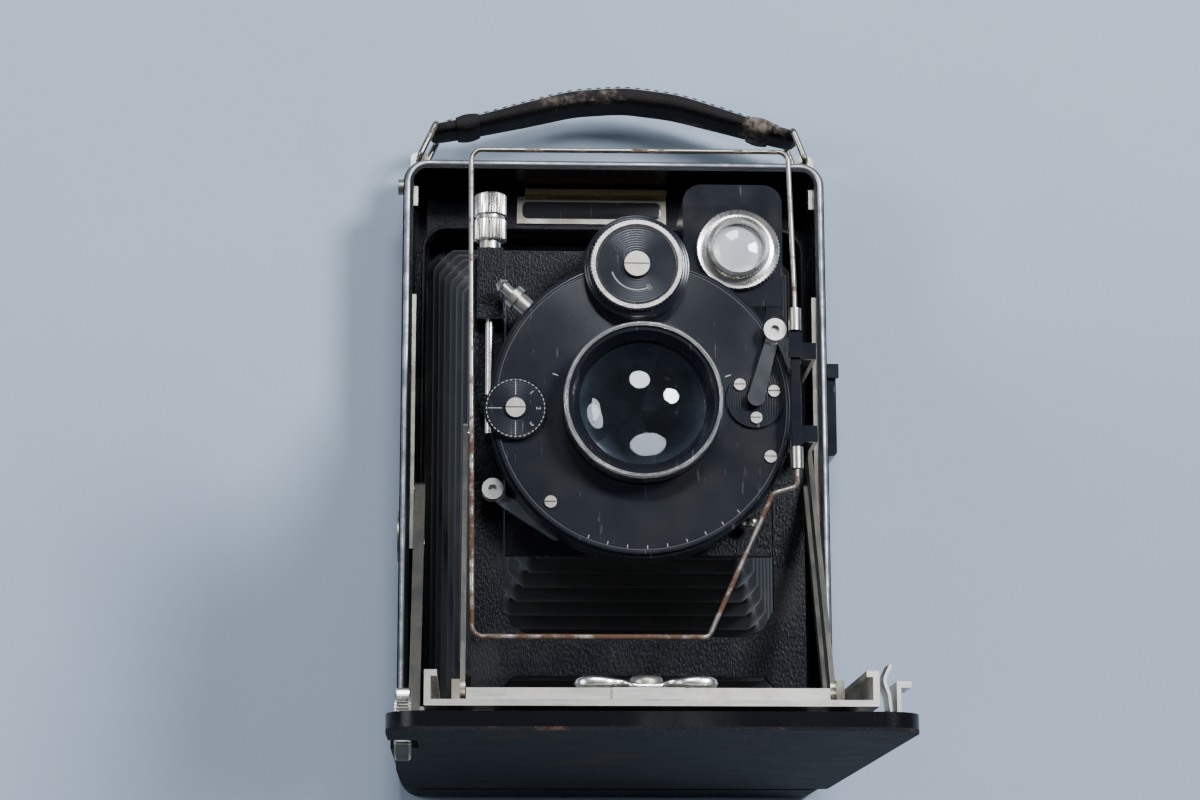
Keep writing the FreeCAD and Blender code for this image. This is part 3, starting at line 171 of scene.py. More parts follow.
def leather(name, dark, worn, grain=1400, wear=0.62, relief=0.00016):
    """Grained leather: cell walls pressed in, soft mottling, and rubbed patches of a lighter colour."""
    r = Recipe(name)
    walls = r.cells(grain, "DISTANCE_TO_EDGE").above(0.12, 0.12)
    pores = r.noise(grain * 1.7, 3)
    rubbed = r.noise(38, 7, 0.7).above(wear, 0.05) * r.noise(420, 3).above(0.46, 0.12)
    mottle = r.noise(90, 4)
    base = r.mix(mottle, dark, tuple(c * 1.7 + 0.006 for c in dark))
    r.bump(walls * 0.8 + pores * 0.4, relief, 0.55)
    return r.finish(Base_Color=r.mix(rubbed, base, worn), Roughness=0.5 + mottle * 0.18 + rubbed * 0.15,
                    Specular_IOR_Level=0.07)


def crinkle_paint(name, colour, relief=0.00009):
    """Black crinkle lacquer with a few bright chips."""
    r = Recipe(name)
    ripples = r.noise(2600, 4, 0.6, r.moved(scale=(1, 0.45, 0.45)))
    chips = r.noise(160, 6, 0.75).above(0.735, 0.012)
    dust = r.noise(60, 5).above(0.58, 0.12)
    base = r.mix(dust * 0.3, colour, (0.03, 0.028, 0.026))
    r.bump(ripples - chips * 0.5, relief)
    return r.finish(Base_Color=r.mix(chips, base, (0.55, 0.52, 0.47)), Roughness=0.2 + dust * 0.16,
                    Metallic=chips * 0.9, Specular_IOR_Level=0.12)


def enamel(name, centre=None, colour=(0.0085, 0.0095, 0.0145)):
    """Glossy black enamel. With a centre, fine turned rings run round it."""
    r = Recipe(name)
    smear = r.noise(140, 5)
    scratch = r.noise(900, 4, 0.7, r.moved(scale=(1, 0.08, 1))).above(0.66, 0.03)
    roughness = 0.1 + smear * 0.14 + scratch * 0.2
    if centre:
        place = r.moved((-centre[0] * MM, -centre[1] * MM, 0))
        sockets = {"Vector": place, "Scale": 620, "Distortion": 0.0}
        rings = r.add("ShaderNodeTexWave", {"wave_type": "RINGS", "rings_direction": "Z"}, sockets, "Fac")
        r.bump(rings, 0.000035, 0.5)
        roughness = roughness + rings * 0.06
    brown = r.noise(70, 3).above(0.58, 0.1)
    base = r.mix(brown * 0.35, colour, (0.02, 0.013, 0.009))
    return r.finish(Base_Color=r.mix(scratch * 0.5, base, (0.07, 0.065, 0.06)), Roughness=roughness,
                    Specular_IOR_Level=0.45)


def nickel(name, bright=(0.54, 0.5, 0.43), tarnish=(0.22, 0.19, 0.14), amount=0.55, grain=(1, 0.06, 1), rough=0.26):
    """Aged nickel plate: brushed in one direction, yellowed in patches, with fine scratches."""
    r = Recipe(name)
    brushed = r.noise(2200, 3, 0.5, r.moved(scale=grain))
    stains = r.noise(120, 6, 0.65).above(amount, 0.14)
    specks = r.noise(1500, 3).above(0.7, 0.03)
    colour = r.mix(stains * 0.65, bright, tarnish)
    r.bump(brushed - specks * 0.6, 0.00003, 0.5)
    return r.finish(Base_Color=r.mix(specks * 0.6, colour, (0.09, 0.07, 0.05)), Metallic=1 - specks * 0.5,
                    Roughness=rough + brushed * 0.12 + stains * 0.16)


def tipped(name, tip, reach, dark=(0.012, 0.012, 0.014)):
    """Blackened lever whose grip, within reach of the tip, is polished nickel."""
    r = Recipe(name)
    spot = tuple(c * MM for c in tip)
    away = r.add("ShaderNodeVectorMath", {"operation": "DISTANCE"}, {0: r.place, 1: spot}, "Value")
    grip = 1 - away.above(reach * MM, 0.0003)
    stain = r.noise(300, 5)
    base = r.mix(stain, dark, tuple(c * 3 for c in dark))
    return r.finish(Base_Color=r.mix(grip, base, (0.74, 0.7, 0.64)), Metallic=grip * 0.95 + 0.05,
                    Roughness=0.24 + stain * 0.14)


def rusty(name):
    """Nickelled wire that has rusted in places, more so towards the foot."""
    r = Recipe(name)
    low = 1 - r.along("Y").above(-0.005, 0.05)
    patch = (r.noise(180, 6, 0.7) + low * 0.16).above(0.6, 0.07)
    pits = r.noise(2400, 4)
    rust = r.mix(pits, (0.035, 0.015, 0.008), (0.15, 0.07, 0.035))
    r.bump(pits * patch, 0.00008, 0.7)
    return r.finish(Base_Color=r.mix(patch, (0.36, 0.32, 0.27), rust), Metallic=1 - patch * 0.8,
                    Roughness=0.3 + patch * 0.45)


def bellows_cloth(name, dark, worn):
    """Thin black bellows leather with a fine weave and brown wear on the outer folds."""
    r = Recipe(name)
    weave = r.noise(3200, 2, 0.5)
    rub = r.noise(60, 6, 0.7).above(0.57, 0.08) * r.noise(500, 3).above(0.45, 0.15)
    r.bump(weave, 0.00005)
    return r.finish(Base_Color=r.mix(rub * 0.6, dark, worn), Roughness=0.55 + weave * 0.2, Sheen_Weight=0.15)


def coated_glass(name, colour=(0.78, 0.84, 0.9), through=1.0, rough=0.0):
    """Lens glass with faint dust."""
    r = Recipe(name)
    dust = r.noise(1300, 3).above(0.69, 0.03)
    return r.finish(Base_Color=r.mix(dust * 0.5, colour, (0.6, 0.6, 0.6)), Roughness=rough + dust * 0.25,
                    Transmission_Weight=through, IOR=1.52, Coat_Weight=0.4, Coat_Roughness=0.02)


def plain(name, colour, rough=0.5, metal=0.0, scale=300):
    """A paint or plastic with light mottling."""
    r = Recipe(name)
    mottle = r.noise(scale, 4)
    return r.finish(Base_Color=r.mix(mottle, colour, tuple(min(1, c * 1.25 + 0.004) for c in colour)),
                    Roughness=rough + mottle * 0.1, Metallic=metal)


# ---------------------------------------------------------------- surfaces


def surface(name, points, body, material, around=True, closed=False, sharp=38):
    """A piece from a grid of points. Rows join up if around is true, and columns if closed is true."""
    points = np.asarray(points, dtype=float) * MM
    rows, columns = points.shape[:2]
    i, j = np.meshgrid(np.arange(rows if around else rows - 1), np.arange(columns if closed else columns - 1),
                       indexing="ij")
    i2, j2 = (i + 1) % rows, (j + 1) % columns
    faces = np.stack([i * columns + j, i2 * columns + j, i2 * columns + j2, i * columns + j2], axis=-1).reshape(-1, 4)
    return finish_mesh(name, points.reshape(-1, 3), faces, body, material, sharp)


def finish_mesh(name, points, faces, body, material, sharp):
    """Makes the mesh, merges seams and poles, turns faces outwards and lets the piece ride its body."""
    mesh = bpy.data.meshes.new(name)
    mesh.from_pydata(points.tolist(), [], np.asarray(faces).tolist())
    work = bmesh.new()
    work.from_mesh(mesh)
    bmesh.ops.remove_doubles(work, verts=work.verts, dist=1e-7)
    bmesh.ops.dissolve_degenerate(work, dist=1e-8, edges=work.edges)
    bmesh.ops.recalc_face_normals(work, faces=work.faces)
    work.to_mesh(mesh)
    work.free()
    mesh.polygons.foreach_set("use_smooth", np.ones(len(mesh.polygons), dtype=bool))
    mesh.set_sharp_from_angle(angle=math.radians(sharp))
    mesh.materials.append(material)
    piece = bpy.data.objects.new(name, mesh)
    bpy.context.scene.collection.objects.link(piece)
    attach(piece, body)
    return piece


def turned(centre, axis, profile, steps=96, teeth=0, depth=0.0):
    """Points of a profile of (radius, height, knurled) carried round an axis.

    radius(angle) = radius - depth * knurled * saw(teeth * angle), where saw runs 0 to 1 and back."""
    profile = np.asarray(profile, dtype=float)
    count = teeth * 4 if teeth else steps
    angle = np.arange(count) * 2 * np.pi / count
    saw = np.abs(((angle * teeth / (2 * np.pi)) % 1) * 2 - 1) if teeth else np.zeros(count)
    radius = profile[None, :, 0] - depth * profile[None, :, 2] * saw[:, None]
    radius = np.maximum(radius, 0)
    height = np.broadcast_to(profile[None, :, 1], radius.shape)
    a, b = radius * np.cos(angle)[:, None], radius * np.sin(angle)[:, None]
    order = {"Z": (a, b, height), "X": (height, a, b), "Y": (b, height, a)}[axis]
    return np.stack(order, axis=-1) + np.asarray(centre, dtype=float)


def rounded_loop(half_x, low, high, radius, per_corner=10):
    """A rectangle with quarter-circle corners, as (x, y) points and outward normals."""
    angle = np.linspace(0, np.pi / 2, per_corner)
    corners, normals = [], []
    centres = [(half_x - radius, high - radius), (-half_x + radius, high - radius),
               (-half_x + radius, low + radius), (half_x - radius, low + radius)]
    for quarter, (cx, cy) in enumerate(centres):
        turn = angle + quarter * np.pi / 2
        normal = np.stack([np.cos(turn), np.sin(turn)], axis=-1)
        normals.append(normal)
        corners.append(np.array([cx, cy]) + normal * radius)
    return np.concatenate(corners), np.concatenate(normals)


def framed(half_x, low, high, radius, profile, per_corner=10):
    """A closed profile of (outward, z) carried round a rounded rectangle."""
    loop, normal = rounded_loop(half_x, low, high, radius, per_corner)
    profile = np.asarray(profile, dtype=float)
    xy = loop[:, None, :] + normal[:, None, :] * profile[None, :, 0, None]
    z = np.broadcast_to(profile[None, :, 1], xy.shape[:2])
    return np.concatenate([xy, z[..., None]], axis=-1)


def marks(name, centre, radii, angles, width, height, body, material):
    """Thin raised strokes on rays round a centre: four-sided blocks, 0.05 mm thick."""
    angles = np.radians(np.asarray(angles, dtype=float))
    ray = np.stack([np.cos(angles), np.sin(angles), np.zeros(len(angles))], axis=-1)
    side = np.stack([-np.sin(angles), np.cos(angles), np.zeros(len(angles))], axis=-1)
    corners = [(radii[0], -1), (radii[1], -1), (radii[1], 1), (radii[0], 1)]
    rings = []
    for lift in (0.0, 0.05):
        for radius, sign in corners:
            rings.append(ray * radius + side * sign * width / 2 + np.array([centre[0], centre[1], height + lift]))
    points = np.stack(rings, axis=1).reshape(-1, 3)
    block = np.array([[3, 2, 1, 0], [4, 5, 6, 7], [0, 1, 5, 4], [1, 2, 6, 5], [2, 3, 7, 6], [3, 0, 4, 7]])
    faces = (block[None] + np.arange(len(angles))[:, None, None] * 8).reshape(-1, 4)
    return finish_mesh(name, points * MM, faces, body, material, 30)


def numbers(name, words, centre, radius, angles, size, height, body, material):
    """Plain figures that stand round a dial, each turned to read from outside."""
    points, faces, start = [], [], 0
    for word, degrees in zip(words, angles):
        curve = bpy.data.curves.new(name + "_text", "FONT")
        curve.body = word
        curve.size = size
        curve.extrude = 0.02
        curve.align_x = "CENTER"
        curve.align_y = "CENTER"
        holder = bpy.data.objects.new(name + "_text", curve)
        flat = bpy.data.meshes.new_from_object(holder)
        spot = np.empty(len(flat.vertices) * 3)
        flat.vertices.foreach_get("co", spot)
        spot = spot.reshape(-1, 3)
        turn = math.radians(degrees - 90)
        c, s = math.cos(turn), math.sin(turn)
        x, y = spot[:, 0], spot[:, 1] + radius
        points.append(np.stack([x * c - y * s + centre[0], x * s + y * c + centre[1], spot[:, 2] + height], axis=-1))
        faces += [[start + v for v in p.vertices] for p in flat.polygons]
        start += len(flat.vertices)
        bpy.data.objects.remove(holder)
        bpy.data.curves.remove(curve)
        bpy.data.meshes.remove(flat)
    mesh = bpy.data.meshes.new(name)
    mesh.from_pydata((np.concatenate(points) * MM).tolist(), [], faces)
    mesh.materials.append(material)
    piece = bpy.data.objects.new(name, mesh)
    bpy.context.scene.collection.objects.link(piece)
    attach(piece, body)
    return piece


# ---------------------------------------------------------------- sizes and colours


class CameraSizes(bpy.types.PropertyGroup):
    """What a user would change."""

    folds: bpy.props.IntProperty(name="Folds", description="Pleats of the bellows", default=17, min=4)
    fold_depth: bpy.props.FloatProperty(name="Fold depth", description="How deep a pleat is, in mm", default=3.6)
    knurls: bpy.props.IntProperty(name="Knurls", description="Ridges round the speed dial", default=72, min=12)
    strap_width: bpy.props.FloatProperty(name="Strap width", description="Width of the strap, in mm", default=14.0)
    hide: bpy.props.FloatVectorProperty(name="Leather", description="Colour of the body's leather", subtype="COLOR",
                                        default=(0.007, 0.0068, 0.008))
    hide_worn: bpy.props.FloatVectorProperty(name="Worn leather", description="Colour of rubbed leather",
                                             subtype="COLOR", default=(0.075, 0.052, 0.038))
    strap: bpy.props.FloatVectorProperty(name="Strap", description="Colour of the strap", subtype="COLOR",
                                         default=(0.013, 0.0105, 0.010))
    floor: bpy.props.FloatVectorProperty(name="Floor", description="Colour of the floor", subtype="COLOR",
                                         default=(0.36, 0.42, 0.50))


def sizes():
    """The scene's own sizes and colours."""
    return bpy.context.scene.folding_camera


def shared(name, maker, *values, **named):
    """A material made once and then used again."""
    return bpy.data.materials.get(name) or maker(name, *values, **named)


def dress(names, material):
    """Gives CAD pieces a finish."""
    for name in names:
        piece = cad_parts[name]
        if not piece.material_slots:
            piece.data.materials.append(material)
        for place in piece.material_slots:
            place.material = material


# ---------------------------------------------------------------- operators


class CAMERA_OT_finishes(bpy.types.Operator):
    """Puts leather, paint, plating and glass on the pieces that come from the model"""

    bl_idname = "folding_camera.finishes"
    bl_label = "Finishes"

    def execute(self, context):
        size = sizes()
        dress(["body_leather"], shared("body hide", leather, tuple(size.hide), tuple(size.hide_worn), wear=0.64))
        dress(["bed_leather"], shared("bed hide", leather, tuple(size.hide), (0.10, 0.055, 0.032), wear=0.595))
        dress(["body_shell", "bulkhead", "bed_plate", "back_frame", "screen_frame"],
              shared("box paint", crinkle_paint, (0.006, 0.006, 0.0075)))
        dress(["standard_frame", "lens_board"],
              shared("standard paint", crinkle_paint, (0.0045, 0.0045, 0.006), 0.00022))
        dress(["shutter_face"], shared("turned enamel", enamel, LENS))
        dress(["shutter_case", "finder_body", "lens_cells", "finder_bar", "foot_bracket", "side_foot"],
              shared("black enamel", enamel))
        dress(["speed_dial"], shared("speed enamel", enamel, SPEED))
        dress(["mode_dial"], shared("mode enamel", enamel, MODE))
        dress(["carriage", "focus_track", "bed_guides", "bed_catch"],
              shared("track nickel", nickel, (0.74, 0.7, 0.63), (0.3, 0.25, 0.19), 0.56, (0.05, 1, 1), 0.3))
        dress(["bed_struts", "standard_braces", "inner_fittings", "blank_plate", "wire_sleeves"],
              shared("strut nickel", nickel, (0.46, 0.43, 0.37), (0.16, 0.13, 0.09), 0.5, (1, 0.07, 0.07), 0.24))
        dress(["tripod_bush", "strap_lugs", "latch_button", "bed_hinge", "wing_screw",
               "speed_dial_screw", "mode_dial_screw", "shutter_screws", "cable_socket", "pinion_shaft",
               "shutter_blades"], shared("fitting nickel", nickel))
        dress(["cocking_lever"], shared("cocking lever", tipped, (27.1, 7.0, 145.5), 2.9))
        dress(["release_lever"], shared("release lever", tipped, (-30.3, -24.4, 134), 3.0, (0.05, 0.055, 0.065)))
        dress(["aperture_lever"], shared("aperture lever", tipped, (23.3, -30.8, 133), 1.9))
        dress(["lens_barrel"],
              shared("bright nickel", nickel, (0.82, 0.79, 0.74), (0.5, 0.45, 0.38), 0.6, (1, 1, 1), 0.14))
        dress(["wire_finder", "strap_rings"], shared("rusty wire", rusty))
        dress(["front_lens", "rear_lens"], shared("lens glass", coated_glass))
        dress(["finder_lens"], shared("finder glass", coated_glass, (0.86, 0.88, 0.9), 0.35, 0.05))
        dress(["ground_glass"], shared("ground glass", coated_glass, (0.7, 0.72, 0.72), 0.6, 0.45))
        return {"FINISHED"}


class CAMERA_OT_bellows(bpy.types.Operator):
    """Pleated bellows and the collar that it comes out of"""

    bl_idname = "folding_camera.bellows"
    bl_label = "Bellows"

    def execute(self, context):
        size = sizes()
        low, high = 7.5, 125.4
        cloth_wall, travel = 0.7, 0.084
        count = size.folds * 8 + 1
        way = np.linspace(0, 1, count)
        fold = np.abs((way * size.folds) % 1 * 2 - 1)
        fold = 0.5 - 0.5 * np.cos(np.pi * fold)
        layers = []
        for wall in (0.0, cloth_wall):
            rows = []
            for step, crease in zip(way, fold):
                half = 46.5 + (21.0 - 46.5) * step
                foot = -67.0 + (-31.0 + 67.0) * step
                top = 61.5 + (9.9 - 61.5) * step
                loop, normal = rounded_loop(half, foot, top, 5.0 - 1.5 * step, 7)
                reach = (1 - crease) * size.fold_depth * (1 - 0.3 * step) + wall
                corner = np.abs(normal[:, 0] * normal[:, 1]) * 2
                reach = reach * (1 - 0.45 * corner) + crease * 1.4 * corner
                point = loop - normal * reach[:, None]
                z = np.full((len(point), 1), low + (high - low) * step)
                rows.append(np.concatenate([point, z], axis=1))
            layers.append(rows)
        grid = np.stack(layers[0] + layers[1][::-1], axis=1)
        cloth = shared("bellows cloth", bellows_cloth, (0.005, 0.005, 0.006), (0.03, 0.024, 0.02))
        bellows = surface("bellows_folds", grid, "focus_track", cloth, closed=True, sharp=60)
        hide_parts("bellows")
        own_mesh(bellows)
        lip = [(0, 7.6), (0, 21.4), (0.25, 22), (0.75, 22), (1.0, 21.4), (1.0, 7.6)]
        surface("bellows_collar", framed(46.95, -67.4, 61.9, 5.4, lip), "camera_body",
                shared("box paint", crinkle_paint, (0.006, 0.006, 0.0075)), closed=True)
        return {"FINISHED"}


class CAMERA_OT_body_trim(bpy.types.Operator):
    """Bright worn rim round the body's mouth, raised plate panel and latch bar"""

    bl_idname = "folding_camera.body_trim"
    bl_label = "Body trim"

    def execute(self, context):
        turn = np.linspace(0, 2 * np.pi, 17)[:-1]
        bead = np.stack([np.cos(turn) * 0.85, 29.35 + np.sin(turn) * 0.9], axis=-1)
        worn = shared("worn rim", nickel, (0.5, 0.5, 0.5), (0.07, 0.07, 0.08), 0.47, (1, 1, 1), 0.3)
        surface("mouth_rim", framed(51.3, -76.8, 76.8, 5.0, bead), "camera_body", worn, closed=True)
        dark = shared("plate enamel", enamel, None, (0.02, 0.02, 0.022))
        loop, _ = rounded_loop(17.6, -2.2, 2.2, 1.4, 6)
        ring = np.stack([loop * k for k in (1.0, 1.0, 0.97, 0.0)], axis=1)
        z = np.array([11.9, 12.0, 12.1, 12.1])
        panel = np.concatenate([ring + np.array([-5.0, 69.9]), np.broadcast_to(z[None, :, None], (*ring.shape[:2], 1))],
                               axis=-1)
        surface("blank_plate_panel", panel, "camera_body", dark)
        brass = shared("latch brass", nickel, (0.55, 0.42, 0.2), (0.2, 0.14, 0.07), 0.5, (0.05, 1, 1))
        bar = [(-1.1, 12.2), (-1.1, 14.4), (-0.7, 14.8), (0.7, 14.8), (1.1, 14.4), (1.1, 12.2)]
        x = np.concatenate([[-22], np.linspace(-22, 14, 8), [14]])
        shape = np.array(bar)
        scale = np.ones(len(x))
        scale[[0, -1]] = 0.0
        points = np.empty((len(bar), len(x), 3))
        points[:, :, 0] = x[None]
        points[:, :, 1] = 74.0 + shape[:, None, 0] * scale[None]
        points[:, :, 2] = 13.4 + (shape[:, None, 1] - 13.4) * scale[None]
        surface("latch_bar", points, "camera_body", brass)
        return {"FINISHED"}


class CAMERA_OT_knurled(bpy.types.Operator):
    """Knurled rings and knobs: speed dial, finder lens, focusing knob and rising knob"""

    bl_idname = "folding_camera.knurled"
    bl_label = "Knurled rings"

    def execute(self, context):
        size = sizes()
        metal = shared("knurled nickel", nickel, (0.74, 0.7, 0.64), (0.36, 0.31, 0.25), 0.55, (1, 1, 1), 0.2)
        ring = [(8.0, 146.2, 0), (9.3, 146.2, 0), (9.6, 146.4, 1), (9.6, 147.6, 1), (9.3, 148.0, 0), (8.5, 148.0, 0),
                (8.0, 147.5, 0)]
        piece = surface("speed_dial_grip", turned((*SPEED, 0), "Z", ring, teeth=size.knurls, depth=0.28), "speed_dial",
                        metal, closed=True, sharp=25)
        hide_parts("speed_dial_ring")
        ring = [(5.3, 131.0, 0), (6.05, 131.0, 0), (6.05, 132.4, 0), (6.5, 132.4, 0), (6.7, 132.6, 1), (6.7, 134.2, 1),
                (6.4, 134.5, 0), (5.7, 134.8, 0), (5.3, 133.6, 0)]
        piece = surface("finder_lens_grip", turned((21, 27.6, 0), "Z", ring, teeth=54, depth=0.24),
                        "reflecting_finder", metal, closed=True, sharp=25)
        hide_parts("finder_lens_ring")
        ring = [(6.1, 131.0, 0), (8.6, 131.0, 0), (8.9, 131.2, 1), (8.9, 131.9, 1), (8.5, 132.3, 0), (7.5, 132.0, 0),
                (6.1, 132.3, 0)]
        piece = surface("finder_lens_plate", turned((21, 27.6, 0), "Z", ring, teeth=66, depth=0.26),
                        "reflecting_finder", metal, closed=True, sharp=25)
        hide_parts("finder_lens_flange")
        disc = [(0, -49.2, 0), (4.6, -49.2, 0), (4.9, -48.9, 0), (5.6, -48.9, 0), (5.9, -49.2, 0), (6.7, -49.2, 0),
                (7.1, -48.8, 1), (7.1, -46.4, 1), (6.7, -46.0, 0), (0, -46.0, 0)]
        piece = surface("focus_knob_grip", turned((0, -74.1, 150), "X", disc, teeth=60, depth=0.32), "focus_knob", metal,
                        sharp=25)
        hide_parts("focus_knob")
        knob = [(0, -12, 0), (0.9, -12, 0), (0.9, 27.5, 0), (2.2, 27.5, 0), (2.2, 29.2, 0), (3.1, 29.2, 0),
                (3.4, 29.5, 1), (3.4, 33.6, 1), (3.0, 34.0, 0), (3.0, 34.5, 0), (3.4, 34.9, 1), (3.4, 38.9, 1),
                (3.1, 39.3, 0), (1.2, 39.3, 0), (0, 39.1, 0)]
        piece = surface("rise_knob_grip", turned((-31.1, 0, 130.2), "Y", knob, teeth=34, depth=0.26), "rise_knob",
                        metal, sharp=25)
        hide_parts("rise_knob")
        return {"FINISHED"}


class CAMERA_OT_lens_detail(bpy.types.Operator):
    """Closed shutter leaves behind the lens, dial figures, scales and rim lines"""

    bl_idname = "folding_camera.lens_detail"
    bl_label = "Lens and dial detail"

    def execute(self, context):
        white = shared("white fill", plain, (0.34, 0.33, 0.29), 0.6)
        steel = shared("leaf steel", nickel, (0.16, 0.17, 0.19), (0.08, 0.08, 0.09), 0.5, (1, 1, 1), 0.3)
        sweep = np.linspace(0, 1, 14)
        for leaf in range(5):
            first = leaf * 2 * np.pi / 5
            angle = first + sweep * 2 * np.pi / 5 * 1.12
            curl = 12.8 * np.stack([np.cos(angle), np.sin(angle)], axis=-1)
            inner = np.stack([np.sin(sweep * np.pi) * 2.2 * np.cos(first + 1.2), np.sin(sweep * np.pi) * 2.2 *
                              np.sin(first + 1.2)], axis=-1)
            layers = []
            for shape, lift in ((inner, 0.0), (curl, 0.5), (curl, 0.6), (inner, 0.1)):
                z = np.full((len(sweep), 1), 135.9 + lift + leaf * 0.02)
                layers.append(np.concatenate([shape + np.array(LENS), z], axis=1))
            surface(f"shutter_leaf_{leaf}", np.stack(layers, axis=0), "lens_board", steel)
        dial = [-160 + 5.0 * i for i in range(20)]
        marks("speed_arrow", SPEED, (5.15, 5.4), dial, 0.48, 147.4, "speed_dial", white)
        marks("speed_arrow_head", SPEED, (4.7, 5.9), [-63, -61.5, -60], 0.3, 147.4, "speed_dial", white)
        speeds = ["1", "2", "5", "10", "25", "50", "100", "250"]
        around = [200 + 20 * i for i in range(8)]
        numbers("speed_figures", speeds, SPEED, 10.2, around, 1.0, 145.82, "speed_dial", white)
        numbers("mode_figures", ["1", "2", "3"], MODE, 4.6, [45, 0, -45], 1.3, 144.0, "mode_dial", white)
        marks("mode_strokes", MODE, (2.8, 5.6), [90, 180, 270], 0.14, 144.0, "mode_dial", white)
        marks("mode_ring", MODE, (5.85, 6.0), np.arange(0, 360, 9), 0.5, 144.0, "mode_dial", white)
        marks("aperture_strokes", LENS, (28.8, 29.5), np.linspace(-112, -48, 9), 0.16, 142.2, "lens_board", white)
        marks("rim_strokes", LENS, (18.2, 19.4), np.linspace(20, 160, 3), 0.22, 142.2, "lens_board", white)
        brown = shared("rim brown", plain, (0.035, 0.033, 0.036), 0.3)
        band = [(29.6, 142.2, 0), (29.8, 142.2, 0), (29.8, 142.26, 0), (29.6, 142.26, 0)]
        surface("face_rim_line", turned((*LENS, 0), "Z", band, 160), "lens_board", brown, closed=True)
        groove = shared("bright nickel", nickel, (0.82, 0.79, 0.74), (0.5, 0.45, 0.38), 0.6, (1, 1, 1), 0.14)
        lip = [(15.35, 149.1, 0), (15.6, 149.45, 0), (15.95, 149.45, 0), (16.15, 149.1, 0)]
        surface("lens_rim_bead", turned((*LENS, 0), "Z", lip, 128), "lens_board", groove, closed=True)
        return {"FINISHED"}


class CAMERA_OT_wings(bpy.types.Operator):
    """Lock lever with its two pressed wings"""

    bl_idname = "folding_camera.wings"
    bl_label = "Lock lever"

    def execute(self, context):
        way = np.linspace(-1, 1, 61)
        reach = 14.2
        x = way * reach
        far = np.abs(x)
        tall = 3.2 - 0.9 * np.exp(-((far - 5.0) / 1.8) ** 2)
        end = np.sqrt(np.clip(1 - np.abs(way) ** 9, 0, 1))
        deep = (0.55 + 0.98 * np.clip((far - 4.0) / 6.0, 0, 1) ** 0.8) * end
        hub = np.exp(-(far / 3.6) ** 6)
        deep = deep * (1 - hub) + 0.9 * hub
        tall = tall * (1 - hub) + 3.5 * hub
        turn = np.linspace(0, 2 * np.pi, 29)[:-1]
        ca, sa = np.cos(turn), np.sin(turn)
        shape_z = np.sign(ca) * np.abs(ca) ** 0.5
        shape_y = np.sign(sa) * np.abs(sa) ** 0.6
        points = np.empty((len(turn), len(x), 3))
        points[:, :, 0] = x[None]
        points[:, :, 1] = (-66.2 - 0.9 * hub)[None] + shape_y[:, None] * deep[None]
        points[:, :, 2] = 152 + shape_z[:, None] * (tall * end)[None]
        white = shared("wing nickel", nickel, (0.88, 0.86, 0.8), (0.6, 0.55, 0.46), 0.62, (0.1, 1, 1), 0.2)
        piece = surface("lock_wing_plate", points, "lock_wing", white, sharp=50)
        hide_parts("wing_lever")
        return {"FINISHED"}


